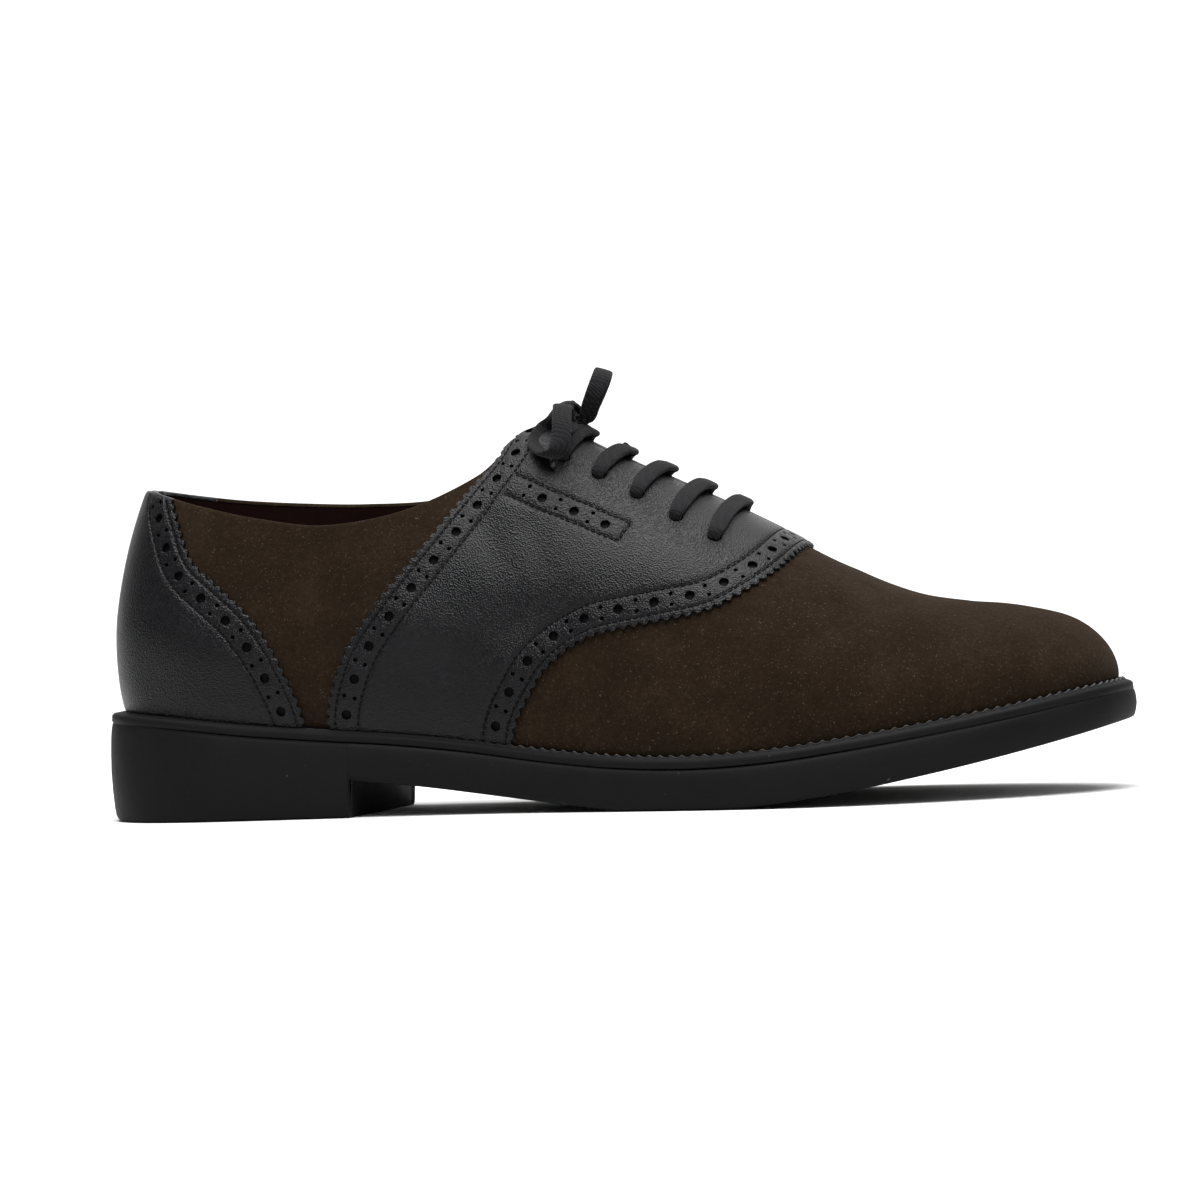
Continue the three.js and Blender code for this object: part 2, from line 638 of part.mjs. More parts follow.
// A flat lace along hand-placed points; side is the direction of its width
function ribbon(points, side, width, thickness) {
  const curve = new THREE.CatmullRomCurve3(points.map(([x, y, z]) => new THREE.Vector3(x, y, z)));
  const steps = 2 * (points.length - 1);
  const corners = lace.sides;
  const loops = Array.from({ length: steps + 1 }, (_, i) => {
    const centre = curve.getPointAt(i / steps);
    const tangent = curve.getTangentAt(i / steps);
    const wide = new THREE.Vector3(...side).projectOnPlane(tangent).normalize();
    const thin = tangent.clone().cross(wide);
    return Array.from({ length: corners }, (__, k) => {
      const turn = (k + 0.5) * 2 * Math.PI / corners;
      return centre.clone()
        .addScaledVector(wide, Math.cos(turn) / Math.cos(Math.PI / corners) * width / 2)
        .addScaledVector(thin, Math.sin(turn) / Math.cos(Math.PI / corners) * thickness / 2);
    });
  });
  const points3 = loops.flat();
  const faces = [];
  for (let j = 0; j < steps; j += 1) {
    for (let i = 0; i < corners; i += 1) {
      const a = j * corners + i;
      const b = j * corners + (i + 1) % corners;
      faces.push([a, b, b + corners], [a, b + corners, a + corners]);
    }
  }
  const end = steps * corners;
  for (let i = 1; i < corners - 1; i += 1) {
    faces.push([0, i + 1, i], [end, end + i, end + i + 1]);
  }
  return geometryOf(points3, faces);
}

function knotGeometry() {
  const ball = new THREE.SphereGeometry(1 / 2, knot.sides, knot.rings);
  ball.scale(knot.length, knot.width, knot.height);
  ball.rotateY(knot.tilt);
  ball.translate(knot.x, knot.y, knot.z);
  ball.deleteAttribute('normal');
  ball.deleteAttribute('uv');
  return mergeVertices(ball);
}

function agletGeometry([from, to]) {
  const start = new THREE.Vector3(...from);
  const way = new THREE.Vector3(...to).sub(start);
  const tube = new THREE.CylinderGeometry(aglet.radius, aglet.radius, way.length(), aglet.sides);
  tube.translate(0, way.length() / 2, 0);
  tube.applyQuaternion(new THREE.Quaternion().setFromUnitVectors(
    new THREE.Vector3(0, 1, 0),
    way.normalize(),
  ));
  tube.translate(start.x, start.y, start.z);
  tube.deleteAttribute('normal');
  tube.deleteAttribute('uv');
  return mergeVertices(tube);
}

function meshOf(name, geometry, colour, roughness) {
  const material = new THREE.MeshStandardMaterial({ color: colour, roughness, metalness: 0 });
  const mesh = new THREE.Mesh(geometry, material);
  mesh.name = name;
  return mesh;
}

const colours = {
  suede: 0x2e2117,
  leather: 0x141416,
  rubber: 0x1a1a1c,
  lining: 0x35170f,
  lace: 0x16171a,
};

const shoe = new THREE.Group();
const surface = upperSurface(0);
const upperSolid = punched(solidOf(wallOf(surface, -upperWall, 0, surface.foot)));
shoe.add(meshOf('outsole', outsoleGeometry(), colours.rubber, 0.7));
shoe.add(meshOf('welt', weltGeometry(), colours.rubber, 0.6));
shoe.add(meshOf('insole', insoleGeometry(), colours.lining, 0.8));
shoe.add(meshOf('upper', geometryFrom(upperSolid), colours.suede, 0.95));
shoe.add(meshOf('saddle', saddleGeometry(surface), colours.leather, 0.4));
shoe.add(meshOf('counter', counterGeometry(surface), colours.leather, 0.4));
shoe.add(meshOf('tongue', tongueGeometry(), colours.leather, 0.5));
eyelets.forEach((pair, i) => {
  shoe.add(meshOf(`lace_bar_${i + 1}`, barGeometry(pair), colours.lace, 0.8));
});
shoe.add(meshOf('lace_knot', knotGeometry(), colours.lace, 0.8));
Object.entries(bow).forEach(([name, { side, points }]) => {
  shoe.add(meshOf(name, ribbon(points, side, lace.width, lace.thickness), colours.lace, 0.8));
});
Object.entries(aglets).forEach(([name, ends]) => {
  shoe.add(meshOf(name, agletGeometry(ends), colours.lace, 0.3));
});

shoe.position.x = -heelRestX;
const part = new THREE.Group();
part.add(shoe);
export default part;
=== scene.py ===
# A laced saddle brogue shoe for the right foot on a pale floor: leather, suede, rubber and a woven lace.
# Sizes are in millimetres with x from the back of the heel, y to the inner side and z up.
# They become metres in the shared frame when a mesh is made.
import math

import bmesh
import bpy
import numpy as np
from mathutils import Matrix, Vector
from mathutils.geometry import delaunay_2d_cdt
from mathutils.kdtree import KDTree


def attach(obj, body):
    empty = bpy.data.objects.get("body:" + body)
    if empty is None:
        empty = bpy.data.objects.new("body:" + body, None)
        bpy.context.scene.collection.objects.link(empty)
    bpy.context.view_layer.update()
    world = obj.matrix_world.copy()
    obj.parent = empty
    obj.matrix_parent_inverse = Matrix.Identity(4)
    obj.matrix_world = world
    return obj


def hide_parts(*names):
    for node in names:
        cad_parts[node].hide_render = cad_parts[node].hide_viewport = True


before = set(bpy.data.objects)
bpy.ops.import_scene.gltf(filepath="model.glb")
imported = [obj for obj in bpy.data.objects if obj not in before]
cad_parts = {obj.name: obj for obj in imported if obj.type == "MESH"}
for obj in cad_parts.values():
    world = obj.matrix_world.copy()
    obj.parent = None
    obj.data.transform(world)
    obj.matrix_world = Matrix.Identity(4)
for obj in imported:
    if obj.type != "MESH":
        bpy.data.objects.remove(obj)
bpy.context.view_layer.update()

MM = 0.001
HEEL_REST = 40

# Driving sizes of the shoe, as the solids have them
SOLE_LENGTH = 304.5
BALL_WIDTH = 108
HEEL_HEIGHT = 33
TOE_SPRING = 20
SPRING_START = 190
SPRING_CURVE = 1.4
WAIST_HEIGHT = 10.8
WAIST_END = 160
BREAST_X = 82.5
BREAST_SKEW = 0.06
SOLE_DRAFT = 0.9
WELT = {"thickness": 3, "inward": 3}
INSTEP_HEIGHT = 110.8
UPPER_MARGIN = 5
UPPER_SWELL = 4
WALL_LEAN = 2.6
SWELL_RISE = 0.65
UPPER_WALL = 2
GAP = 0.3

# The leather's details
PINK = {"pitch": 3.15, "depth": 1.05, "tooth": (0, 0.12, 0.7, 1, 0.7, 0.12)}
BAND = {"outer": 2.5, "inner": 9.4, "groove": 0.5, "reach": 0.45}
HOLE = {
    "radius": 1.45, "pitch": 10.3, "small": 0.62, "apart": 3.2, "first": 5.5, "last": 4, "near_end": 8,
    "sides": 16, "small_sides": 10,
}
# A stitch's profile holds shares of its length and of its radius
STITCH = {
    "pitch": 2.0, "length": 1.6, "radius": 0.22, "bow": 0.12, "proud": 0.1, "sides": 6,
    "profile": ((-0.5, 0.15), (-0.42, 0.75), (-0.2, 1), (0.2, 1), (0.42, 0.75), (0.5, 0.15)),
}
PANEL_STEP = 1.25
# The lace, with the powers that flatten its oval section and the points along it and in its route
LACE = {
    "width": 5.6, "thickness": 1.5, "bar_width": 5.2, "sides": 16, "flat": (0.55, 0.8), "points": 190,
    "route_points": 38,
}
# How finely lines are cut: along holes, grooves, panel edges and their parallels
SPACING = {"holes": 0.25, "grooves": 0.3, "edges": 1.0, "offsets": 1.5}

# Rows from the back of the heel to the toe, with the columns of the solids' table
ROW_COLUMNS = (
    "along", "lateral", "medial", "margin", "top_along", "ridge", "open", "top_lateral", "top_medial",
    "arch", "full", "belly_lateral", "belly_medial",
)
ROWS = (
    (0, 0, 0, 1.36, 0.051, 0, 0, 0.885, 0.885, 0, 2, 0.6, 0.6),
    (0.013, 0.287, 0.287, 1.28, 0.057, 0, 0.176, 0.88, 0.882, 0, 2, 0.625, 0.625),
    (0.046, 0.5, 0.5, 1.08, 0.078, 0, 0.333, 0.861, 0.872, 0, 2, 0.7, 0.7),
    (0.099, 0.62, 0.62, 0.92, 0.12, 0, 0.454, 0.826, 0.855, 0, 2, 0.8, 0.8),
    (0.164, 0.657, 0.648, 0.84, 0.179, 0, 0.512, 0.786, 0.84, 0.02, 2, 0.9, 0.9),
    (0.236, 0.657, 0.639, 0.76, 0.246, 0, 0.52, 0.761, 0.83, 0.06, 2, 1, 1.1),
    (0.315, 0.657, 0.602, 0.72, 0.32, 0.004, 0.457, 0.792, 0.834, 0.18, 1.95, 1, 1.25),
    (0.394, 0.676, 0.565, 0.72, 0.385, 0.009, 0.291, 0.876, 0.884, 0.55, 1.8, 0.85, 1.25),
    (0.466, 0.75, 0.593, 0.76, 0.441, 0.013, 0.056, 1, 1, 0.92, 1.7, 0.65, 1.1),
    (0.539, 0.861, 0.694, 0.8, 0.522, 0.026, 0.048, 0.905, 0.905, 1, 1.7, 0.5, 0.8),
    (0.611, 0.963, 0.833, 0.84, 0.601, 0.046, 0.044, 0.8, 0.8, 1, 1.78, 0.4, 0.55),
    (0.683, 1.009, 0.954, 0.88, 0.665, 0.065, 0, 0.708, 0.708, 1, 1.9, 0.35, 0.4),
    (0.755, 0.981, 0.991, 0.92, 0.729, 0.083, 0, 0.607, 0.607, 1, 2, 0.3, 0.325),
    (0.828, 0.861, 0.926, 0.94, 0.79, 0.094, 0, 0.532, 0.532, 1, 2.1, 0.275, 0.275),
    (0.893, 0.7, 0.787, 0.96, 0.839, 0.1, 0, 0.503, 0.503, 1, 2.08, 0.25, 0.25),
    (0.946, 0.49, 0.611, 0.98, 0.873, 0.102, 0, 0.492, 0.492, 1, 2, 0.225, 0.225),
    (0.982, 0.25, 0.398, 1, 0.897, 0.1, 0, 0.479, 0.479, 1, 1.9, 0.2, 0.2),
    (1, -0.074, 0.074, 1, 0.911, 0.098, 0, 0.469, 0.469, 1, 1.85, 0.2, 0.2),
)
LAST = len(ROWS) - 1
TURN = 2 * LAST

# The sole's upper edge: share of its length, height as a share of HEEL_HEIGHT
SOLE_TOP = (
    (0, 1), (0.026, 0.985), (0.1, 0.912), (0.168, 0.836), (0.24, 0.774), (0.31, 0.718), (0.38, 0.638),
    (0.456, 0.533), (0.529, 0.464), (0.601, 0.445), (0.673, 0.482), (0.742, 0.56), (0.811, 0.655),
    (0.88, 0.762), (0.949, 0.885), (1, 0.967),
)
# The hollow under the waist: share of the way to WAIST_END, share of WAIST_HEIGHT
WAIST_LINE = ((0, 1), (0.25, 0.79), (0.5, 0.52), (0.75, 0.25), (1, 0))
# The sole's side wall: depth as a share of its height, inset as a share of SOLE_DRAFT
SOLE_WALL = ((0, 0.78), (0.2, 0.22), (0.55, 0), (1, 1))

# Panel edges: height as a share of INSTEP_HEIGHT, then x on the lateral and medial side, of SOLE_LENGTH
SADDLE_REAR = (
    (0.1, 0.242, 0.214), (0.269, 0.246, 0.22), (0.36, 0.255, 0.243), (0.45, 0.269, 0.264),
    (0.54, 0.293, 0.287), (0.63, 0.32, 0.312), (0.713, 0.345, 0.336), (0.782, 0.365, 0.354),
    (0.862, 0.388, 0.374), (0.935, 0.409, 0.396), (1.2, 0.44, 0.44),
)
SADDLE_FRONT = (
    (0.1, 0.424, 0.384), (0.215, 0.429, 0.389), (0.3, 0.445, 0.413), (0.38, 0.467, 0.447),
    (0.445, 0.508, 0.494), (0.47, 0.562, 0.523), (0.491, 0.609, 0.552), (0.53, 0.643, 0.594),
    (0.588, 0.675, 0.656), (0.65, 0.696, 0.694), (0.68, 0.702, 0.702), (1.2, 0.71, 0.71),
)
COUNTER_FRONT = (
    (0.1, 0.225, 0.214), (0.277, 0.223, 0.213), (0.373, 0.21, 0.209), (0.465, 0.193, 0.197),
    (0.543, 0.172, 0.178), (0.61, 0.146, 0.152), (0.683, 0.117, 0.12), (0.774, 0.102, 0.104),
    (0.876, 0.09, 0.095), (1.2, 0.086, 0.09),
)

# Eyelet pairs from the front: row of the lace's bar, how far back its ends lean, how far up they go in
EYELETS = (
    (10.45, 0.3, 0.665), (9.95, 0.3, 0.693), (9.47, 0.3, 0.73), (9.0, 0.29, 0.75), (8.55, 0.26, 0.765),
)
EYELET = {"radius": 2.1, "below": 0.012}


def hermite(b, c, slope_b, slope_c, share):
    """The smooth value between b and c that leaves b and reaches c at the given slopes."""
    s2 = share * share
    s3 = s2 * share
    return (
        (2 * s3 - 3 * s2 + 1) * b + (s3 - 2 * s2 + share) * slope_b
        + (3 * s2 - 2 * s3) * c + (s3 - s2) * slope_c
    )


def smooth(a, b, c, d, share):
    """The smooth value between b and c, with a and d as their neighbours."""
    return hermite(b, c, (c - a) / 2, (d - b) / 2, share)


def on_table(table, place, value=1):
    """A table's column at places along its first column."""
    rows = np.array(table, dtype=float)
    keys, values = rows[:, 0], rows[:, value]
    slopes = np.gradient(values) / np.gradient(keys)
    place = np.asarray(place, dtype=float)
    i = np.clip(np.searchsorted(keys, place) - 1, 0, len(keys) - 2)
    span = keys[i + 1] - keys[i]
    share = np.clip((place - keys[i]) / span, 0, 1)
    return hermite(values[i], values[i + 1], span * slopes[i], span * slopes[i + 1], share)


def column(name):
    """A column of ROWS."""
    return np.array([row[ROW_COLUMNS.index(name)] for row in ROWS], dtype=float)


def ring_of(medial, lateral=None, size=1, mirror=1):
    """A column as a closed ring: up the medial side to the toe and back along the lateral one."""
    back = column(lateral or medial)[1:LAST][::-1] * mirror
    return np.concatenate([column(medial), back]) * size


HALF = BALL_WIDTH / 2
RINGS = {
    "x": ring_of("along", size=SOLE_LENGTH),
    "y": ring_of("medial", "lateral", HALF, -1),
    "margin": ring_of("margin", size=UPPER_MARGIN),
    "top_x": ring_of("top_along", size=SOLE_LENGTH),
    "ridge": ring_of("ridge", size=HALF),
    "open": ring_of("open", size=HALF, mirror=-1),
    "top_z": ring_of("top_medial", "top_lateral", INSTEP_HEIGHT),
    "arch": ring_of("arch"),
    "full": ring_of("full"),
    "belly": ring_of("belly_medial", "belly_lateral", UPPER_SWELL),
}


def on_ring(name, u):
    """A ring's smooth value at places round the foot."""
    i = np.floor(u).astype(int)
    near = [RINGS[name][(i + k) % TURN] for k in (-1, 0, 1, 2)]
    return smooth(*near, u - i)


def sole_top(x):
    """The height of the sole's upper edge."""
    return HEEL_HEIGHT * on_table(SOLE_TOP, np.asarray(x) / SOLE_LENGTH)


def sole_bottom(x):
    """The height of the sole's underside, which springs up at the toe."""
    share = np.maximum(np.asarray(x) - SPRING_START, 0) / (SOLE_LENGTH - SPRING_START)
    return TOE_SPRING * share ** SPRING_CURVE


# Half steps for slopes round the foot, along the surface's u and along its v
NUDGE = 0.05
STEP_U = 0.02
STEP_V = 0.004


def outline_at(u, inset):
    """The sole's outline at u, moved in by inset, and its outward direction."""
    dx = on_ring("x", u + NUDGE) - on_ring("x", u - NUDGE)
    dy = on_ring("y", u + NUDGE) - on_ring("y", u - NUDGE)
    long = np.hypot(dx, dy)
    out = np.stack([-dy / long, dx / long], -1)
    place = np.stack([on_ring("x", u), on_ring("y", u)], -1)
    return place - out * np.asarray(inset)[..., None], out


def upper_at(u, v):
    """Points of the upper's outer surface: u is the row round the foot, v runs from the sole to the top."""
    u, v = np.broadcast_arrays(np.asarray(u, dtype=float), np.asarray(v, dtype=float))
    foot, out = outline_at(u, on_ring("margin", u))
    edge = on_ring("open", u)
    medial = (u % TURN) <= LAST
    openness = np.where(medial, np.maximum(edge, 0), np.minimum(edge, 0))
    top = (on_ring("top_x", u), on_ring("ridge", u) + openness, on_ring("top_z", u))
    arch = np.clip(on_ring("arch", u), 0, 1)
    power = 2 / on_ring("full", u)
    safe = np.clip(v, 0, 1)
    turn = safe * math.pi / 2
    inward = (1 - arch) * safe ** WALL_LEAN + arch * (1 - np.maximum(np.cos(turn), 0) ** power)
    upward = (1 - arch) * safe + arch * np.sin(turn) ** power
    swell = on_ring("belly", u) * np.sin(math.pi * safe ** SWELL_RISE)
    bottom = sole_top(foot[..., 0]) + GAP
    return np.stack([
        foot[..., 0] + (top[0] - foot[..., 0]) * inward + out[..., 0] * swell,
        foot[..., 1] + (top[1] - foot[..., 1]) * inward + out[..., 1] * swell,
        bottom + (top[2] - bottom) * upward,
    ], -1)


def frames_at(u, v):
    """The surface's steps along u and v, and its outward normal."""
    low, high = np.clip(v - STEP_V, 0, 1), np.clip(v + STEP_V, 0, 1)
    along = (upper_at(u + STEP_U, v) - upper_at(u - STEP_U, v)) / (2 * STEP_U)
    up = (upper_at(u, high) - upper_at(u, low)) / (high - low)[..., None]
    normal = np.cross(up, along)
    normal /= np.linalg.norm(normal, axis=-1, keepdims=True)
    return along, up, normal


FIND_ROUNDS = 3


def find_uv(points, u, v):
    """The places on the surface next to points, from a first guess."""
    for _ in range(FIND_ROUNDS):
        along, up, _normal = frames_at(u, v)
        miss = points - upper_at(u, v)
        aa = (along * along).sum(-1)
        bb = (up * up).sum(-1)
        ab = (along * up).sum(-1)
        ra = (along * miss).sum(-1)
        rb = (up * miss).sum(-1)
        det = aa * bb - ab * ab
        u = u + (ra * bb - rb * ab) / det
        v = np.clip(v + (rb * aa - ra * ab) / det, 0, 1)
    return u, v


def side_u(row, side):
    """The place round the foot of a row on the medial (1) or lateral (-1) side."""
    return row if side > 0 else TURN - row


# Soft troughs and ridges: side, the line's ends as shares of SOLE_LENGTH and INSTEP_HEIGHT,
# height in millimetres (below 0 for a trough) and width in millimetres
CREASES = (
    (-1, (0.69, 0.60), (0.73, 0.44), -0.5, 5),
    (-1, (0.735, 0.56), (0.765, 0.40), 0.35, 5),
    (-1, (0.77, 0.52), (0.79, 0.38), -0.35, 4.5),
    (-1, (0.335, 0.36), (0.47, 0.50), -0.8, 8),
    (-1, (0.33, 0.52), (0.42, 0.42), 0.7, 8),
    (-1, (0.39, 0.60), (0.58, 0.62), 0.8, 10),
    (-1, (0.40, 0.74), (0.42, 0.64), -0.55, 5),
    (-1, (0.445, 0.73), (0.46, 0.63), -0.4, 4),
    (-1, (0.05, 0.52), (0.14, 0.44), 0.6, 9),
    (-1, (0.08, 0.36), (0.17, 0.33), -0.5, 8),
    (-1, (0.25, 0.60), (0.28, 0.44), -0.4, 7),
    (1, (0.69, 0.60), (0.72, 0.44), -0.5, 5),
    (1, (0.735, 0.56), (0.76, 0.42), 0.35, 5),
    (1, (0.33, 0.40), (0.45, 0.58), -0.7, 8),
    (1, (0.38, 0.64), (0.56, 0.66), 0.7, 10),
    (1, (0.06, 0.5), (0.15, 0.42), 0.5, 9),
    (1, (0.24, 0.62), (0.27, 0.44), -0.4, 7),
)
# A crease fades out within this distance of the shoe's middle plane
CREASE_FADE = 12


def relief(points):
    """How far the leather's soft troughs and ridges move each point."""
    moved = np.zeros(points.shape[:-1])
    flat = points[..., [0, 2]]
    for side, start, end, height, width in CREASES:
        a = np.array((start[0] * SOLE_LENGTH, start[1] * INSTEP_HEIGHT))
        b = np.array((end[0] * SOLE_LENGTH, end[1] * INSTEP_HEIGHT))
        way = b - a
        share = np.clip(((flat - a) @ way) / (way @ way), 0, 1)
        near = a + share[..., None] * way
        distance = np.linalg.norm(flat - near, axis=-1)
        on_side = np.clip(side * points[..., 1] / CREASE_FADE, 0, 1)
        moved += height * np.exp(-(distance / width) ** 2) * on_side
    return moved


def lifted(u, v, height):
    """Points at a height above the creased surface."""
    points = upper_at(u, v)
    normal = frames_at(u, v)[2]
    return points + normal * (np.asarray(height) + relief(points))[..., None]


def on_surface(line):
    """The points of a line of places on the surface."""
    return upper_at(line[:, 0], line[:, 1])


def lengths_of(points):
    """The way run from the first point to each."""
    steps = np.linalg.norm(np.diff(points, axis=0), axis=1)
    return np.concatenate([[0], np.cumsum(steps)])


def resampled(line, step):
    """A line of places on the surface, cut anew into even steps of real length."""
    run = lengths_of(on_surface(line))
    count = max(int(round(run[-1] / step)), 2)
    at = np.linspace(0, run[-1], count + 1)
    return np.stack([np.interp(at, run, line[:, 0]), np.interp(at, run, line[:, 1])], -1)


def sideways(line, distance):
    """Each point of a line moved sideways over the surface, to the left as seen from outside."""
    points = on_surface(line)
    tangent = np.gradient(points, axis=0)
    normal = frames_at(line[:, 0], line[:, 1])[2]
    across = np.cross(normal, tangent)
    across /= np.linalg.norm(across, axis=1, keepdims=True)
    target = points + across * np.asarray(distance).reshape(-1, 1)
    return np.stack(find_uv(target, line[:, 0], line[:, 1]), -1)


OFFSET_STEP = 1.6
NEAR_EDGE = 0.002


def offset_line(line, distance):
    """A line's parallel on the surface, made in small steps and carried to the foot and the top."""
    count = max(int(math.ceil(abs(distance) / OFFSET_STEP)), 1)
    for _ in range(count):
        line = resampled(sideways(line, distance / count), SPACING["offsets"])
    return to_edges(line)


def to_edges(line):
    """A line carried on to the foot below and to the top above."""
    ends = []
    for end, beside, goal in ((line[0], line[1], 0), (line[-1], line[-2], 1)):
        rise = end[1] - beside[1]
        slope = (end[0] - beside[0]) / rise if abs(rise) > 1e-6 else 0
        ends.append(np.array([[end[0] + slope * (goal - end[1]), goal]]))
    low = ends[:1] if line[0][1] > NEAR_EDGE else []
    high = ends[1:] if line[-1][1] < 1 - NEAR_EDGE else []
    return np.concatenate(low + [line] + high)


def panel_edge(table, side, first_row, last_row):
    """Where a panel's edge lies on the surface, from the foot to the top."""
    step = 0.04
    v = np.linspace(0, 1, 90)
    rows = np.arange(first_row, last_row, step)
    grid_row, grid_v = np.meshgrid(rows, v)
    points = upper_at(side_u(grid_row, side), grid_v)
    edge = SOLE_LENGTH * on_table(table, points[..., 2] / INSTEP_HEIGHT, 2 if side > 0 else 1)
    line = []
    for rise, ahead in zip(v, points[..., 0] - edge):
        i = max(int(np.argmax(ahead > 0)), 1)
        share = -ahead[i - 1] / (ahead[i] - ahead[i - 1])
        line.append((side_u(rows[i - 1] + share * step, side), rise))
    return resampled(to_edges(np.array(line)), SPACING["edges"])


# The rows and rises that are searched for a spot in side view
SPOT = {"rows": (6.5, 11, 0.02), "rises": (0.3, 1, 280)}


def spot(x, z, side):
    """The place on one side of the upper whose side view is at x and z."""
    grid_row, grid_v = np.meshgrid(np.arange(*SPOT["rows"]), np.linspace(*SPOT["rises"]))
    u = side_u(grid_row, side)
    points = upper_at(u, grid_v)
    miss = (points[..., 0] - x) ** 2 + (points[..., 2] - z) ** 2
    at = np.unravel_index(np.argmin(miss), miss.shape)
    return np.array((u[at], grid_v[at]))


def round_hole(centre, radius, sides):
    """A circle on the surface round a place."""
    u, v = np.full(sides, centre[0]), np.full(sides, centre[1])
    along, _up, normal = frames_at(u, v)
    along /= np.linalg.norm(along, axis=1, keepdims=True)
    across = np.cross(normal, along)
    turn = np.linspace(0, 2 * math.pi, sides, endpoint=False)[:, None]
    target = upper_at(u, v) + radius * (np.cos(turn) * along + np.sin(turn) * across)
    return np.stack(find_uv(target, u, v), -1)


def punched(middle, start, stop_short, pitch, unpunched=0):
    """Large holes along a band's middle, from the unpunched ones on, with two small ones after each."""
    fine = resampled(middle, SPACING["holes"])
    run = lengths_of(on_surface(fine))
    holes = []
    for number, place in enumerate(np.arange(start, run[-1] - stop_short, pitch)):
        if number >= unpunched:
            holes.append(round_hole(fine[np.searchsorted(run, place)], HOLE["radius"], HOLE["sides"]))
        after = np.searchsorted(run, place + pitch / 2)
        if after < len(fine) - HOLE["near_end"]:
            for way in (-1, 1):
                moved = sideways(fine[after:after + HOLE["near_end"]], way * HOLE["apart"] / 2)
                holes.append(round_hole(moved[0], HOLE["small"], HOLE["small_sides"]))
    return holes


def pinked(line, inward):
    """A line cut into teeth, whose valleys lie towards inward (1 left, -1 right)."""
    fine = resampled(line, PINK["pitch"] / len(PINK["tooth"]))
    pattern = PINK["depth"] * np.resize(PINK["tooth"], len(fine))
    pattern[0] = pattern[-1] = 0
    cut = sideways(fine, pattern * inward)
    cut[0], cut[-1] = fine[0], fine[-1]
    return cut


# A flat map of the surface for cutting panels, about in millimetres
U_SCALE = SOLE_LENGTH / LAST
V_SCALE = 80


def inside(points, loop):
    """Which points lie inside a closed loop."""
    x, y = points[:, 0], points[:, 1]
    found = np.zeros(len(points), dtype=bool)
    for a, b in zip(loop, np.roll(loop, -1, axis=0)):
        crosses = (a[1] > y) != (b[1] > y)
        if a[1] != b[1]:
            found ^= crosses & (x < (b[0] - a[0]) * (y - a[1]) / (b[1] - a[1]) + a[0])
    return found


def as_vector(point):
    """A flat or a solid point as a vector."""
    return Vector((*point, 0)) if len(point) == 2 else Vector(point)


def gaps(points, others):
    """How far each point is from the nearest of the others."""
    tree = KDTree(len(others))
    for i, point in enumerate(others):
        tree.insert(as_vector(point), i)
    tree.balance()
    return np.array([tree.find(as_vector(point))[2] for point in points])


def leftward(loop):
    """A closed loop that runs to the left round its middle."""
    x, y = loop[:, 0], loop[:, 1]
    area = np.sum(x * np.roll(y, -1) - np.roll(x, -1) * y)
    return loop if area > 0 else loop[::-1]


# Points beside a groove, at these distances, and how close the filling may come to other points
RAILS = {"step": 0.8, "beside": (-0.8, -0.4, 0.4, 0.8), "clear": 0.25}
FILLING = {"row": 0.87, "clear": 0.45}


def triangulated(outline, holes, grooves, step):
    """Places and triangles that fill an outline around its holes, finer along its grooves."""
    scale = np.array((U_SCALE, V_SCALE))
    loops = [leftward(loop * scale) for loop in [outline] + holes]
    rails = []
    for groove in grooves:
        line = resampled(groove, RAILS["step"])
        rails += [sideways(line, distance) for distance in RAILS["beside"]] + [line]
    rails = np.concatenate(rails) * scale
    rails = rails[inside(rails, loops[0])]
    low, high = loops[0].min(axis=0), loops[0].max(axis=0)
    xs, ys = np.arange(low[0], high[0], step), np.arange(low[1], high[1], step * FILLING["row"])
    grid_x, grid_y = np.meshgrid(xs, ys)
    grid_x = grid_x + (np.arange(len(ys)) % 2)[:, None] * step / 2
    filling = np.stack([grid_x.ravel(), grid_y.ravel()], -1)
    filling = filling[inside(filling, loops[0])]
    filling = filling[gaps(filling, np.concatenate(loops + [rails])) > step * FILLING["clear"]]
    rails = rails[gaps(rails, np.concatenate(loops)) > RAILS["clear"]]
    corners = [Vector(p) for p in np.concatenate(loops + [rails, filling])]
    rings, start = [], 0
    for loop in loops:
        rings.append(list(range(start, start + len(loop))))
        start += len(loop)
    result = delaunay_2d_cdt(corners, [], rings, 1, 1e-4)
    places, faces, owners = np.array([tuple(p) for p in result[0]]), result[2], result[5]
    kept = [face for face, owner in zip(faces, owners) if 0 in owner and len(owner) == 1]
    return places / scale, kept


# How far apart a panel's outline points are along the top and along the foot
TOP_STEP = 0.7
FOOT_STEP = 1.2


def outline_of(rear, front, top_rows, side):
    """A panel's closed outline from its rear and front edges and its rows along the top."""
    pieces = []
    for low, high in zip(top_rows, top_rows[1:]):
        pieces.append(np.linspace(low, high, max(round(abs(high - low) * U_SCALE / TOP_STEP), 3))[1:])
    rows = np.concatenate(pieces)[:-1]
    top = np.stack([side_u(rows, side), np.ones(len(rows))], -1)
    count = max(int(abs(front[0][0] - rear[0][0]) * U_SCALE / FOOT_STEP), 2)
    feet = np.linspace(front[0][0], rear[0][0], count)[1:-1]
    bottom = np.stack([feet, np.zeros(len(feet))], -1)
    return np.concatenate([rear, top, front[::-1], bottom])


# The panels lie this far over the suede
PANEL_BASE = 0.12
PANEL_THICKNESS = 1.35
EDGE_FALL = {"outline": 0.45, "holes": 0.16, "reach": 0.55, "hole_reach": 0.35}


# How near a place is to a joint to lie on it
TOUCH = {"rise": 0.0001, "row": 0.001, "back": 0.0001}


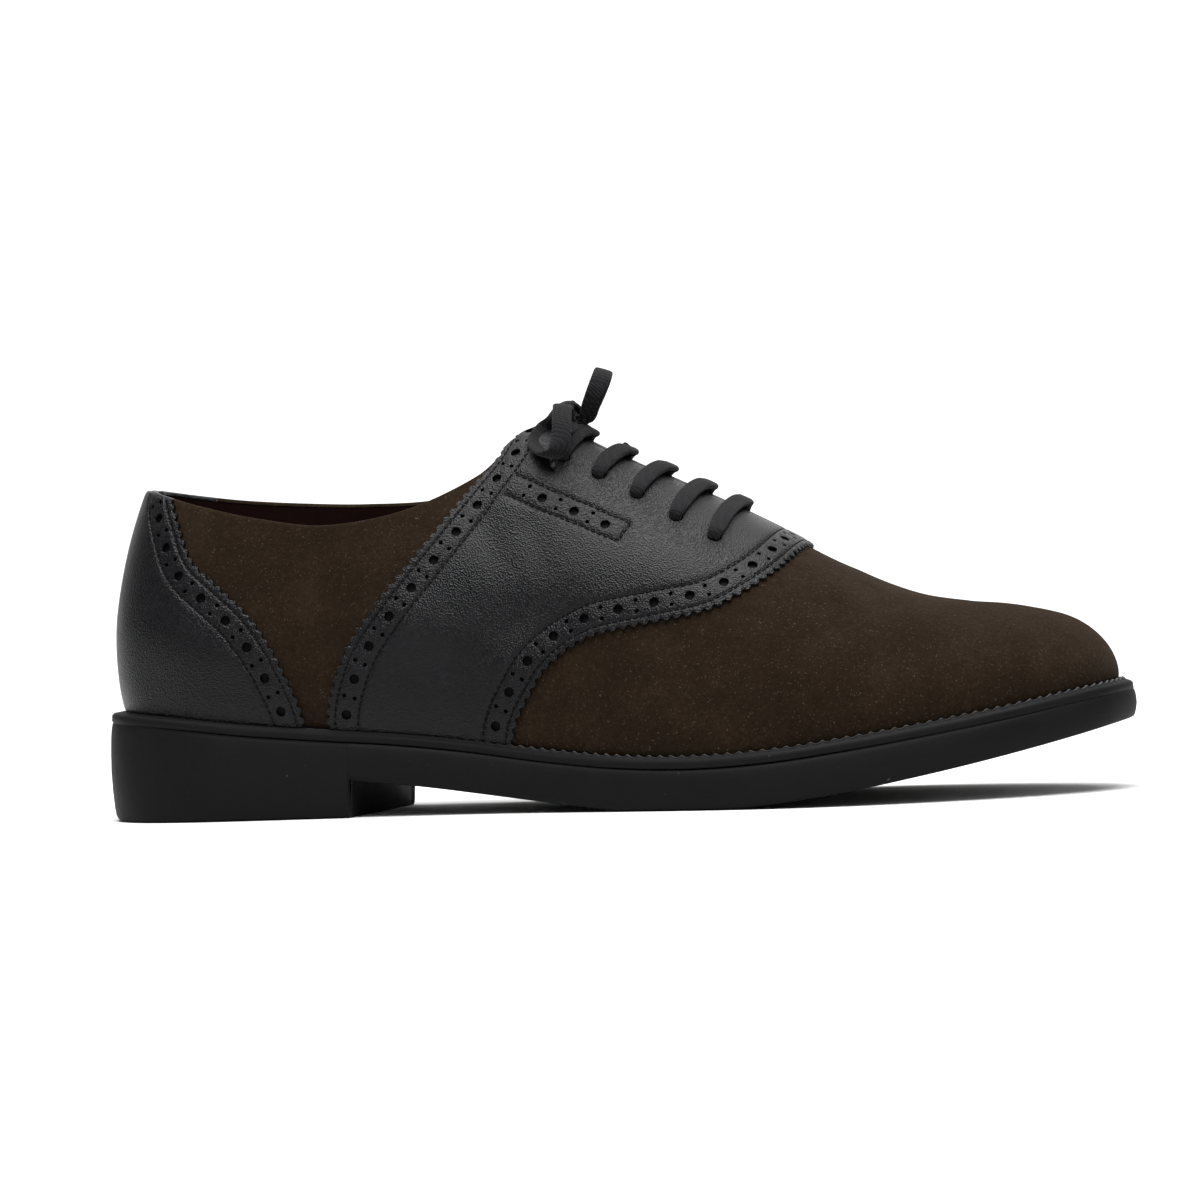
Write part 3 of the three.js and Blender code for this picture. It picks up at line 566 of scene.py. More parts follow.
def saddle_joint(places):
    """Which places lie on the line where the saddle's two sides meet in front of the throat."""
    rows = np.minimum(places[:, 0], TURN - places[:, 0])
    return (places[:, 1] > 1 - TOUCH["rise"]) & (rows > THROAT_END - TOUCH["row"])


def counter_joint(places):
    """Which places lie on the line where the counter's two sides meet at the back."""
    return np.minimum(places[:, 0], TURN - places[:, 0]) < TOUCH["back"]


def sunk(points, lines, depth, reach):
    """How far a panel's top sinks at points near lines."""
    gap = gaps(points, np.concatenate([on_surface(line) for line in lines]))
    return depth * np.exp(-(gap / reach) ** 2)


def panel_solid(outline, holes, grooves, joint):
    """A thin panel over the upper with grooves along its seams: points, faces, walls and joint points."""
    places, triangles = triangulated(outline, holes, grooves, PANEL_STEP)
    u, v = places[:, 0], places[:, 1]
    points = on_surface(places)
    height = PANEL_BASE + PANEL_THICKNESS
    height = height - sunk(points, [outline[~joint(outline)]], EDGE_FALL["outline"], EDGE_FALL["reach"])
    height = height - sunk(points, holes, EDGE_FALL["holes"], EDGE_FALL["hole_reach"])
    seams = [resampled(line, SPACING["grooves"]) for line in grooves]
    height = height - sunk(points, seams, BAND["groove"], BAND["reach"])
    top = lifted(u, v, height)
    bottom = lifted(u, v, PANEL_BASE)
    count = len(places)
    a, b, c = places[list(triangles[0])]
    turned = np.cross(b - a, c - a) < 0
    faces, edges = [], {}
    for triangle in triangles:
        a, b, c = triangle if turned else triangle[::-1]
        faces.append((a, b, c))
        faces.append((c + count, b + count, a + count))
        for pair in ((a, b), (b, c), (c, a)):
            edges[pair] = True
    meets = joint(places)
    rim = [(a, b) for a, b in edges if (b, a) not in edges and not (meets[a] and meets[b])]
    walls = [(b, a, a + count, b + count) for a, b in rim]
    seam = np.nonzero(meets)[0]
    seam = seam[np.lexsort((v[seam], np.minimum(u[seam], TURN - u[seam])))]
    seam = np.concatenate([seam, seam + count])
    return np.concatenate([top, bottom]), faces, walls, seam


def joined_panel(name, sides, material):
    """The two sides of a panel as one piece, welded along their joint."""
    (points_a, faces_a, walls_a, seam_a), (points_b, faces_b, walls_b, seam_b) = sides
    if len(seam_a) == len(seam_b):
        middle = (points_a[seam_a] + points_b[seam_b]) / 2
        points_a[seam_a] = middle
        points_b[seam_b] = middle
    shift = len(points_a)
    faces = faces_a + [tuple(i + shift for i in face) for face in faces_b]
    walls = walls_a + [tuple(i + shift for i in face) for face in walls_b]
    points = np.concatenate([points_a, points_b])
    return make_mesh(name, points, faces + walls, material, sharp_from=len(faces), weld=0.01)


BACKING = {"step": 2.0, "half": 2.6}


def backing(line):
    """A black ribbon under a band: the layer beneath its holes, painted black as the shade inside them."""
    fine = resampled(line, BACKING["step"])[1:-1]
    rows = []
    for way in (-1, 0, 1):
        edge = sideways(fine, way * BACKING["half"])
        rows.append(lifted(edge[:, 0], edge[:, 1], PANEL_BASE / 2))
    return np.stack(rows, axis=1).reshape(-1, 3), grid_faces(len(fine), 3)


def make_mesh(name, points, faces, material, sharp_from=None, weld=None, second=None):
    """A shaded mesh in the shared frame. Faces from sharp_from on meet the rest at a sharp edge.

    second is another material and how many of the last faces it covers.
    """
    mesh = bpy.data.meshes.new(name)
    moved = (np.asarray(points, dtype=float) - (HEEL_REST, 0, 0)) * MM
    mesh.from_pydata(moved.tolist(), [], [tuple(int(i) for i in face) for face in faces])
    mesh.validate()
    shape = bmesh.new()
    shape.from_mesh(mesh)
    shape.faces.ensure_lookup_table()
    if second:
        for face in shape.faces[len(shape.faces) - second[1]:]:
            face.material_index = 1
    if sharp_from is not None:
        for face in shape.faces[sharp_from:]:
            for edge in face.edges:
                linked = [f.index < sharp_from for f in edge.link_faces]
                if any(linked) and not all(linked):
                    edge.smooth = False
    if weld:
        bmesh.ops.remove_doubles(shape, verts=shape.verts, dist=weld * MM)
    for face in shape.faces:
        face.smooth = True
    shape.to_mesh(mesh)
    shape.free()
    mesh.materials.append(material)
    if second:
        mesh.materials.append(second[0])
    piece = bpy.data.objects.new(name, mesh)
    bpy.context.scene.collection.objects.link(piece)
    return piece


def in_frame(point):
    """A place in millimetres as one in metres in the shared frame."""
    return (Vector(point) - Vector((HEEL_REST, 0, 0))) * MM


def joined(parts):
    """Several point and face lists as one."""
    points, faces, start = [], [], 0
    for part_points, part_faces in parts:
        points.append(np.asarray(part_points))
        faces += [tuple(i + start for i in face) for face in part_faces]
        start += len(part_points)
    return np.concatenate(points), faces


def tube_faces(rings, sides, capped=True):
    """Faces of a tube whose points are stored ring after ring, each with as many sides."""
    faces = []
    for j in range(rings - 1):
        for k in range(sides):
            a, b = j * sides + k, j * sides + (k + 1) % sides
            faces.append((a, b, b + sides, a + sides))
    if not capped:
        return faces
    first = tuple(range(sides))
    last = tuple(i + (rings - 1) * sides for i in first)
    return faces + [first[::-1], last]


def spokes(side, other, count):
    """Directions round a ring, from side through other."""
    turn = np.arange(count) / count * 2 * math.pi
    return np.cos(turn)[:, None] * side + np.sin(turn)[:, None] * other


def settle(piece, slot, *nodes):
    """A piece rides on the shoe and stands for the named solids; slot is not used."""
    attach(piece, "root")
    if nodes:
        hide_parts(*nodes)


def principled(name, colour, roughness, **sockets):
    """A material's shader with its plain values set, and its node tree."""
    material = bpy.data.materials.new(name)
    material.use_nodes = True
    tree = material.node_tree
    shader = tree.nodes["Principled BSDF"]
    shader.inputs["Base Color"].default_value = (*colour, 1)
    shader.inputs["Roughness"].default_value = roughness
    for socket, value in sockets.items():
        shader.inputs[socket.replace("_", " ")].default_value = value
    return material, tree, shader


def node(tree, kind, inputs=None, **settings):
    """A node with its settings and inputs: a link where the input is a socket, else a value."""
    made = tree.nodes.new(kind)
    for key, value in settings.items():
        setattr(made, key, value)
    for key, value in (inputs or {}).items():
        if isinstance(value, bpy.types.NodeSocket):
            tree.links.new(value, made.inputs[key])
        else:
            made.inputs[key].default_value = value
    return made


def texture(tree, kind, output, inputs, **settings):
    """A texture's output, in the piece's own coordinates."""
    where = node(tree, "ShaderNodeTexCoord").outputs["Object"]
    return node(tree, "ShaderNodeTex" + kind, {"Vector": where, **inputs}, **settings).outputs[output]


def noise(tree, scale, detail, roughness):
    """A noise texture's value."""
    return texture(tree, "Noise", "Fac", {"Scale": scale, "Detail": detail, "Roughness": roughness})


def ramp(tree, value, stops):
    """A colour that runs through stops as the value rises."""
    made = node(tree, "ShaderNodeValToRGB", {"Fac": value})
    elements = made.color_ramp.elements
    while len(elements) < len(stops):
        elements.new(0.5)
    for element, (place, colour) in zip(elements, stops):
        element.position = place
        element.color = (*colour, 1)
    return made.outputs["Color"]


def spread(tree, value, low, high, new_low, new_high):
    """A value spread from one range over another."""
    return node(tree, "ShaderNodeMapRange", {
        "Value": value, "From Min": low, "From Max": high, "To Min": new_low, "To Max": new_high,
    }).outputs["Result"]


def bumped(tree, shader, height, strength, distance, before=None):
    """A bump on the shader, over the one before it."""
    inputs = {"Height": height, "Strength": strength, "Distance": distance}
    if before is not None:
        inputs["Normal"] = before
    normal = node(tree, "ShaderNodeBump", inputs).outputs["Normal"]
    tree.links.new(normal, shader.inputs["Normal"])
    return normal


def over(tree, share, below, colour):
    """A colour laid over another by a share."""
    inputs = {"Fac": share, "Color1": below, "Color2": (*colour, 1)}
    return node(tree, "ShaderNodeMixRGB", inputs).outputs["Color"]


def paint(tree, shader, value, socket="Base Color"):
    """A value laid on the shader's socket."""
    tree.links.new(value, shader.inputs[socket])


def suede_material():
    """Dark brown napped suede, mottled where the nap lies one way or the other."""
    material, tree, shader = principled(
        "suede_nap", (0.02, 0.013, 0.008), 0.95, Sheen_Weight=0.07, Sheen_Roughness=0.5,
        Sheen_Tint=(0.42, 0.33, 0.26, 1), Specular_IOR_Level=0.03,
    )
    fibre = noise(tree, 900, 3, 0.7)
    inputs = {0: noise(tree, 70, 5, 0.68), 1: fibre}
    mixed = node(tree, "ShaderNodeMath", inputs, operation="ADD").outputs[0]
    colour = ramp(tree, spread(tree, mixed, 0.62, 1.38, 0, 1), (
        (0, (0.0075, 0.0045, 0.0026)), (0.5, (0.0115, 0.0071, 0.0041)), (1, (0.0192, 0.0122, 0.0073)),
    ))
    fleck = spread(tree, noise(tree, 1900, 2, 0.5), 0.64, 0.74, 0, 0.6)
    paint(tree, shader, over(tree, fleck, colour, (0.08, 0.06, 0.043)))
    first = bumped(tree, shader, fibre, 0.85, 0.0004)
    bumped(tree, shader, noise(tree, 260, 4, 0.6), 0.35, 0.0005, first)
    return material


def leather_material():
    """Smooth black calf with a fine grain, a soft gloss and faint dulled patches."""
    material, tree, shader = principled(
        "calf_leather", (0.0025, 0.0025, 0.0033), 0.3, Coat_Weight=0.04, Coat_Roughness=0.3,
        Specular_IOR_Level=0.14,
    )
    cloud = noise(tree, 55, 3, 0.5)
    shade = ramp(tree, cloud, ((0.3, (0.0016, 0.0016, 0.0022)), (0.75, (0.0032, 0.0031, 0.0039))))
    paint(tree, shader, shade)
    paint(tree, shader, spread(tree, cloud, 0.25, 0.75, 0.28, 0.39), "Roughness")
    cells = texture(tree, "Voronoi", "Distance", {"Scale": 1900.0, "Randomness": 1.0})
    first = bumped(tree, shader, cells, 0.8, 0.0003)
    bumped(tree, shader, noise(tree, 210, 5, 0.62), 0.22, 0.0005, first)
    return material


def rubber_material():
    """Matte moulded rubber with faint wear and dust."""
    colour = (0.0055, 0.0055, 0.006)
    material, tree, shader = principled("sole_rubber", colour, 0.62, Specular_IOR_Level=0.08)
    cloud = noise(tree, 34, 5, 0.6)
    shade = ramp(tree, cloud, ((0.3, (0.0034, 0.0033, 0.0036)), (0.8, (0.0062, 0.006, 0.0062))))
    dust = spread(tree, noise(tree, 520, 2, 0.5), 0.75, 0.8, 0, 0.6)
    paint(tree, shader, over(tree, dust, shade, (0.06, 0.058, 0.055)))
    paint(tree, shader, spread(tree, cloud, 0.3, 0.75, 0.52, 0.72), "Roughness")
    bumped(tree, shader, noise(tree, 1300, 2, 0.5), 0.25, 0.0002)
    return material


def highlit_rubber_material():
    """The rim's teeth, painted a little lighter as a highlight where their tops catch the light from above.
    """
    material, tree, shader = principled("rubber_painted_highlight", (0.03, 0.03, 0.031), 0.5, Specular_IOR_Level=0.3)
    # The painted highlight's tone, mottled by noise
    highlight_noise = noise(tree, 700, 3, 0.6)
    paint(tree, shader, ramp(tree, highlight_noise, ((0.3, (0.012, 0.012, 0.013)), (0.75, (0.05, 0.05, 0.051)))))
    bumped(tree, shader, noise(tree, 1300, 2, 0.5), 0.25, 0.0002)
    return material


def lace_material():
    """Charcoal cotton, woven flat."""
    material, tree, shader = principled(
        "woven_lace", (0.01, 0.0098, 0.0108), 0.85, Sheen_Weight=0.06, Sheen_Roughness=0.4,
        Specular_IOR_Level=0.1,
    )
    inputs = {"Scale": 520.0, "Distortion": 1.5, "Detail": 2.0, "Detail Scale": 1.5}
    along = texture(tree, "Wave", "Fac", inputs, wave_type="BANDS", bands_direction="DIAGONAL")
    inputs = {"Scale": 430.0, "Distortion": 1.0, "Detail": 1.0}
    across = texture(tree, "Wave", "Fac", inputs, wave_type="BANDS", bands_direction="Y")
    weave = node(tree, "ShaderNodeMath", {0: along, 1: across}, operation="MULTIPLY").outputs[0]
    paint(tree, shader, ramp(tree, weave, ((0, (0.0045, 0.0044, 0.005)), (1, (0.0135, 0.013, 0.0145)))))
    first = bumped(tree, shader, weave, 0.6, 0.00035)
    bumped(tree, shader, noise(tree, 1500, 2, 0.6), 0.25, 0.0002, first)
    return material


def lining_material():
    """Dark red-brown lining leather."""
    colour = (0.015, 0.004, 0.003)
    material, tree, shader = principled("lining_leather", colour, 0.6, Specular_IOR_Level=0.12)
    cloud = noise(tree, 60, 4, 0.6)
    paint(tree, shader, ramp(tree, cloud, ((0.25, (0.008, 0.0028, 0.0024)), (0.8, (0.02, 0.0065, 0.005)))))
    bumped(tree, shader, noise(tree, 900, 3, 0.6), 0.25, 0.0003)
    return material


def thread_material():
    """Black waxed thread, lightly twisted."""
    colour = (0.002, 0.002, 0.0026)
    material, tree, shader = principled("waxed_thread", colour, 0.6, Specular_IOR_Level=0.08)
    twist = texture(tree, "Wave", "Fac", {"Scale": 900.0, "Distortion": 1.0})
    bumped(tree, shader, twist, 0.4, 0.0002)
    return material


def aglet_material():
    """Glossy dark plastic tip."""
    material, tree, shader = principled("aglet_plastic", (0.008, 0.008, 0.009), 0.3, Specular_IOR_Level=0.3)
    paint(tree, shader, spread(tree, noise(tree, 300, 2, 0.5), 0.3, 0.7, 0.26, 0.4), "Roughness")
    bumped(tree, shader, noise(tree, 500, 2, 0.5), 0.1, 0.0002)
    return material


def stage_material():
    """The pale floor and backdrop."""
    material, tree, shader = principled("pale_sweep", (0.66, 0.66, 0.66), 0.9, Specular_IOR_Level=0.1)
    shade = noise(tree, 2.0, 2, 0.5)
    paint(tree, shader, ramp(tree, shade, ((0.2, (0.65, 0.65, 0.65)), (0.8, (0.67, 0.67, 0.67)))))
    return material


# The camera stands where the photograph's did, beside the toe's end, and turns to the shoe's middle
CAMERA = {"place": (321, -975, 52), "aim": (150, 0, 60), "lens": 101, "roll": -2.3, "near": 0.05, "far": 50}


def turned_to(place, target):
    """The turn that makes a camera or a light at a place look at its target."""
    return (Vector(target) - Vector(place)).to_track_quat("-Z", "Y").to_euler()


def make_camera():
    """The camera, rolled as the photograph's was."""
    data = bpy.data.cameras.new("camera")
    data.lens = CAMERA["lens"]
    data.clip_start = CAMERA["near"]
    data.clip_end = CAMERA["far"]
    camera = bpy.data.objects.new("camera", data)
    bpy.context.scene.collection.objects.link(camera)
    camera.location = in_frame(CAMERA["place"])
    camera.rotation_euler = turned_to(in_frame(CAMERA["place"]), in_frame(CAMERA["aim"]))
    camera.rotation_euler.rotate_axis("Z", math.radians(CAMERA["roll"]))
    bpy.context.scene.camera = camera


# The floor's sweep and the lights, in metres and watts: name, place, target, size and power
SWEEP = {"half": 4, "front": -3, "back": 2.2, "height": 3, "bend": 0.8, "steps": 12}
MIDDLE = (0.11, 0, 0.05)
LIGHTS = (
    ("overhead", (0.2, -0.6, 1.4), MIDDLE, 0.9, 33),
    ("front", (0.9, -1.4, 0.9), MIDDLE, 1.0, 4),
    ("backdrop", (0, 0.6, 2.2), (0, 2.0, 0.4), 2.5, 100),
)
SKY = 0.2


def area_light(name, place, target, size, power):
    """A square soft light."""
    data = bpy.data.lights.new(name, "AREA")
    data.energy = power
    data.size = size
    light = bpy.data.objects.new(name, data)
    light.location = place
    light.rotation_euler = turned_to(place, target)
    bpy.context.scene.collection.objects.link(light)


def make_sweep():
    """A pale floor that sweeps up behind the shoe."""
    bend, foot = SWEEP["bend"], SWEEP["back"] - SWEEP["bend"]
    profile = [(SWEEP["front"], 0)]
    for k in range(SWEEP["steps"] + 1):
        turn = k / SWEEP["steps"] * math.pi / 2
        profile.append((foot + bend * math.sin(turn), bend - bend * math.cos(turn)))
    profile.append((SWEEP["back"], SWEEP["height"]))
    points = [(x, y, z) for x in (-SWEEP["half"], SWEEP["half"]) for y, z in profile]
    count = len(profile)
    mesh = bpy.data.meshes.new("sweep")
    mesh.from_pydata(points, [], [(k, k + count, k + count + 1, k + 1) for k in range(count - 1)])
    for face in mesh.polygons:
        face.use_smooth = True
    mesh.materials.append(stage_material())
    sweep = bpy.data.objects.new("sweep", mesh)
    bpy.context.scene.collection.objects.link(sweep)


def make_studio():
    """The floor, a pale sky and three soft lights."""
    make_sweep()
    world = bpy.data.worlds.new("studio")
    world.use_nodes = True
    sky = world.node_tree.nodes["Background"].inputs
    sky["Color"].default_value = (1, 1, 1, 1)
    sky["Strength"].default_value = SKY
    bpy.context.scene.world = world
    for light in LIGHTS:
        area_light(*light)
    bpy.context.scene.view_settings.view_transform = "Standard"


def grid_faces(width, height, wraps=False, flip=False):
    """Faces of a grid of points stored column after column, each column height points long."""
    faces = []
    for i in range(width if wraps else width - 1):
        j = (i + 1) % width
        for k in range(height - 1):
            face = (i * height + k, j * height + k, j * height + k + 1, i * height + k + 1)
            faces.append(face[::-1] if flip else face)
    return faces


def surface_grid(per_row, rises, top=1):
    """Places round the whole foot, from the sole's edge up."""
    u = np.arange(TURN * per_row) / per_row
    return np.meshgrid(u, np.linspace(0, top, rises), indexing="ij")


# The collar's roll: its height over the edge, where it flattens out and how the leather rim overlaps
COLLAR = {
    "rise": 0.8, "turns": (45, 90, 135, 180), "flat": 2.4, "below": 0.02, "overlap": 0.1, "tip": 0.2,
    "grid": (14, 70),
}


def leather_rim(u):
    """Which places round the foot have a leather rim, over the counter and over the saddle."""
    counter_tops = [counter_front(side)[-1][0] for side in (1, -1)]
    saddle_tops = [saddle_rear(side)[-1][0] for side in (1, -1)]
    tip = saddle_tip() - COLLAR["tip"]
    inward = COLLAR["overlap"]
    at_counter = (u < counter_tops[0] - inward) | (u > counter_tops[1] + inward)
    at_saddle = (u > saddle_tops[0] + inward) & (u < tip)
    at_saddle |= (u > TURN - tip) & (u < saddle_tops[1] - inward)
    return at_counter | at_saddle


def make_shell(suede, leather):
    """The upper's suede, from the sole's edge up and over its rolled collar, with its leather rims."""
    grid_u, grid_v = surface_grid(*COLLAR["grid"])
    rises = grid_u.shape[1]
    u, top_v = grid_u[:, 0], grid_v[:, -1]
    normal = frames_at(u, top_v)[2]
    rim = upper_at(u, top_v)
    up = rim - upper_at(u, top_v - COLLAR["below"])
    up /= np.linalg.norm(up, axis=1, keepdims=True)
    opened = np.clip(np.abs(on_ring("open", u)) / COLLAR["flat"], 0, 1)[:, None]
    columns = [lifted(grid_u, grid_v, 0)]
    for turn in COLLAR["turns"]:
        angle = math.radians(turn)
        inward = (1 - math.cos(angle)) * UPPER_WALL / 2
        rise = math.sin(angle) * COLLAR["rise"]
        columns.append((rim - normal * inward * opened + up * rise * opened)[:, None, :])
    points = np.concatenate(columns, axis=1)
    width, height = points.shape[:2]
    faces = grid_faces(width, height, wraps=True)
    rimmed = np.nonzero(leather_rim(u))[0]
    bound = [i * (height - 1) + k for i in rimmed for k in range(rises - 2, height - 1)]
    taken = set(bound)
    faces = [face for k, face in enumerate(faces) if k not in taken] + [faces[k] for k in bound]
    second = (leather, len(bound))
    piece = make_mesh("suede_upper", points.reshape(-1, 3), faces, suede, weld=0.02, second=second)
    settle(piece, "suede", "upper")


# The lining's share of the wall's depth and how far up it goes
LINING = {"deep": 0.97, "top": 0.995, "grid": (8, 40)}


def make_lining(material):
    """The lining inside the upper, seen through the collar."""
    u, v = surface_grid(*LINING["grid"], LINING["top"])
    points = upper_at(u, v) - frames_at(u, v)[2] * UPPER_WALL * LINING["deep"]
    faces = grid_faces(*u.shape, wraps=True, flip=True)
    settle(make_mesh("quarter_lining", points.reshape(-1, 3), faces, material, weld=0.02), "lining")


def stitches(lines, height):
    """Short rounded stitches in a row along each line, as parts of one mesh."""
    parts = []
    faces = tube_faces(len(STITCH["profile"]), STITCH["sides"])
    for line in lines:
        fine = resampled(line, STITCH["pitch"])
        points = lifted(fine[:, 0], fine[:, 1], height)
        normals = frames_at(fine[:, 0], fine[:, 1])[2]
        for a, b, normal in zip(points, points[1:], normals):
            way = (b - a) / np.linalg.norm(b - a)
            ring = spokes(np.cross(normal, way), normal, STITCH["sides"]) * STITCH["radius"]
            dots = []
            for share, wide in STITCH["profile"]:
                middle = (a + b) / 2 + way * share * STITCH["length"]
                dots.append(middle + normal * STITCH["bow"] * (1 - 4 * share * share) + ring * wide)
            parts.append((np.concatenate(dots), faces))
    return parts


# The stitched strip below the facings: its middle line from the rear band to its squared end, as shares of
# SOLE_LENGTH and INSTEP_HEIGHT, and its width and holes in millimetres
STRIP = {
    "start": (0.4235, 0.845), "end": (0.5345, 0.705), "width": 7, "first": 0.5, "last": 2, "pitch": 10.4,
    "spots": 12,
}
FACING_SEAM = {"inset": 3, "rows": (8.05, 10.75, 60)}
THROAT_END = 10.95


def strip_band(side):
    """The decorative strip's seam, out to its squared end and back, its holes and its middle."""
    start, end = (np.array(STRIP[key]) * (SOLE_LENGTH, INSTEP_HEIGHT) for key in ("start", "end"))
    spots = [spot(*(start + (end - start) * share), side) for share in np.linspace(0, 1, STRIP["spots"])]
    spots = np.array(spots)
    middle = resampled(spots, SPACING["edges"])
    upper, lower = (sideways(middle, way * side * STRIP["width"] / 2) for way in (1, -1))
    holes = punched(middle, STRIP["first"], STRIP["last"], STRIP["pitch"], unpunched=1)
    return np.concatenate([upper, lower[::-1]]), holes, spots


def counter_front(side):
    """The counter's front edge on one side."""
    return panel_edge(COUNTER_FRONT, side, 0.6, 6.5)


def saddle_rear(side):
    """The saddle's rear edge on one side."""
    return panel_edge(SADDLE_REAR, side, 3.2, 9)


def saddle_front(side):
    """The saddle's front edge on one side."""
    return panel_edge(SADDLE_FRONT, side, 6.5, 13)


def saddle_tip():
    """The row at which the saddle's front edges meet on the ridge."""
    return (saddle_front(1)[-1][0] + TURN - saddle_front(-1)[-1][0]) / 2


def banded(line, inward):
    """The band along a panel's edge: its two seams, its holes and its middle."""
    seams = [offset_line(line, inward * depth) for depth in (BAND["outer"], BAND["inner"])]
    middle = offset_line(line, inward * (BAND["outer"] + BAND["inner"]) / 2)
    return seams, punched(middle, HOLE["first"], HOLE["last"], HOLE["pitch"]), middle


def saddle_side(side):
    """One side of the saddle: its outline with teeth, its holes, its seams and its bands' middles."""
    rear, front = saddle_rear(side), saddle_front(side)
    rear_seams, rear_holes, rear_middle = banded(rear, side)
    front_seams, front_holes, front_middle = banded(front, -side)
    strip_seam, strip_holes, strip_middle = strip_band(side)
    rows = np.linspace(*FACING_SEAM["rows"])
    edge = np.stack([side_u(rows, side), np.ones(len(rows))], -1)
    facing = sideways(edge, side * FACING_SEAM["inset"])
    eyelets = [
        round_hole((side_u(row - lean, side), rise - EYELET["below"]), EYELET["radius"], HOLE["sides"])
        for row, lean, rise in EYELETS
    ]
    tip = saddle_tip()
    cut_front = pinked(front, -side)
    cut_front[-1][0] = side_u(tip, side)
    top_rows = (side_u(rear[-1][0], side), THROAT_END, tip)
    outline = outline_of(pinked(rear, side), cut_front, top_rows, side)
    holes = rear_holes + front_holes + strip_holes + eyelets
    seams = rear_seams + front_seams + [strip_seam, facing]
    return outline, holes, seams, [rear_middle, front_middle, strip_middle]


def counter_side(side):
    """One side of the heel counter, from the back's middle to its front edge."""
    front = counter_front(side)
    seams, holes, middle = banded(front, -side)
    rises = np.linspace(0, 1, 70)
    back = np.stack([np.full(len(rises), side_u(0.0, side)), rises], -1)
    outline = outline_of(back, pinked(front, -side), (0.0, side_u(front[-1][0], side)), side)
    return outline, holes, seams, [middle]


def make_panel(name, solid, one_side, joint, leather, thread):
    """A leather panel of two welded sides, the black ribbons under its holes that paint their shade, and
    its stitches.
    """
    sides, ribbons, threads = [], [], []
    for side in (1, -1):
        outline, holes, seams, middles = one_side(side)
        sides.append(panel_solid(outline, holes, seams, joint))
        ribbons += [backing(middle) for middle in middles]
        threads += stitches(seams, PANEL_BASE + PANEL_THICKNESS - BAND["groove"] + STITCH["proud"])
    settle(joined_panel(name, sides, leather), "leather", solid)
    # The ribbons take the black thread: painted shade in the holes
    settle(make_mesh(solid + "_backing", *joined(ribbons), thread), "leather")
    settle(make_mesh(solid + "_stitches", *joined(threads), thread), "lace")


def loop_points(u, inset, height):
    """A ring round the sole, moved in by inset, at a height."""
    place, _out = outline_at(u, inset)
    return np.concatenate([place, np.asarray(height)[..., None]], -1)


# The rim's wheeled teeth: they fade out towards the heel, and the profile's top faces carry a painted
# highlight
TEETH = {
    "pitch": 3.3, "height": 0.62, "sharp": 1.6, "from_x": 95, "fade": 25, "least": 0.12, "highlit": (5, 6),
}


def make_welt(material, highlit):
    """The rim: a lip that slopes down outwards, with wheeled teeth along its inner edge in front."""
    per_row = 90
    u = np.arange(TURN * per_row) / per_row
    inner = on_ring("margin", u)
    base = outline_at(u, inner)[0]
    wave = 0.5 + 0.5 * np.cos(lengths_of(base) / TEETH["pitch"] * 2 * math.pi)
    fade = np.clip((base[:, 0] - TEETH["from_x"]) / TEETH["fade"], TEETH["least"], 1)
    tooth = TEETH["height"] * wave ** TEETH["sharp"] * fade
    top = sole_top(base[:, 0])
    low = top - WELT["thickness"]
    edge = np.full(len(u), SOLE_WALL[0][1] * SOLE_DRAFT)
    profile = [
        (edge + 0.5, low), (edge, low + 0.35), (edge + 0.15, top - 0.9), (edge + 0.75, top - 0.35),
        (inner - 2.3, top + 0.12), (inner - 1.75, top + 0.2 + tooth * 0.85),
        (inner - 1.3, top + 0.3 + tooth), (inner - 0.85, top + 0.2 + tooth * 0.7),
        (inner - 0.35, top - 0.25), (inner + WELT["inward"], top - 0.3), (inner + WELT["inward"], low),
    ]
    columns = np.stack([loop_points(u, inset, height) for inset, height in profile], axis=1)
    width, height = columns.shape[:2]
    faces = grid_faces(width, height, wraps=True)
    for i in range(width):
        a, b = i * height, (i + 1) % width * height
        faces.append((a, a + height - 1, b + height - 1, b))
    piece = make_mesh("wheeled_welt", columns.reshape(-1, 3), faces, material)
    # The teeth's top faces take the lighter rubber: a painted highlight
    piece.data.materials.append(highlit)
    for face in piece.data.polygons[:width * (height - 1)]:
        if face.index % (height - 1) in TEETH["highlit"]:
            face.material_index = 1
    settle(piece, "rubber", "welt")


def under_sole(x, y):
    """The height of the sole's underside: toe spring, heel and the hollow under the waist."""
    start = BREAST_X + BREAST_SKEW * y
    share = (x - start) / (WAIST_END - start)
    hollow = np.where((share >= 0) & (share <= 1), WAIST_HEIGHT * on_table(WAIST_LINE, share), 0)
    return sole_bottom(x) + hollow


HEEL_ROWS = (2, 9, 1400)


def row_at(place, side):
    """The row at which one side of the sole's outline passes the skewed line through place."""
    rows = np.linspace(*HEEL_ROWS)
    foot = outline_at(side_u(rows, side), 0)[0]
    return float(np.interp(0, foot[:, 0] - BREAST_SKEW * foot[:, 1] - place, rows))


def halves(ring, count):
    """A ring's medial half and its lateral one, both from the heel to the toe."""
    return ring[:count], np.concatenate([ring[:1], ring[count:][::-1], ring[count - 1:count]])


# The sole's wall: its levels as shares of its depth, and how far its upper and lower edge round off
SOLE_DEPTHS = (0, 0.02, 0.06, 0.15, 0.3, 0.5, 0.7, 0.86, 0.94, 0.975, 1)
SOLE_EDGE = {"upper": 0.5, "upper_reach": 0.025, "lower": 1.5, "lower_reach": 0.03}


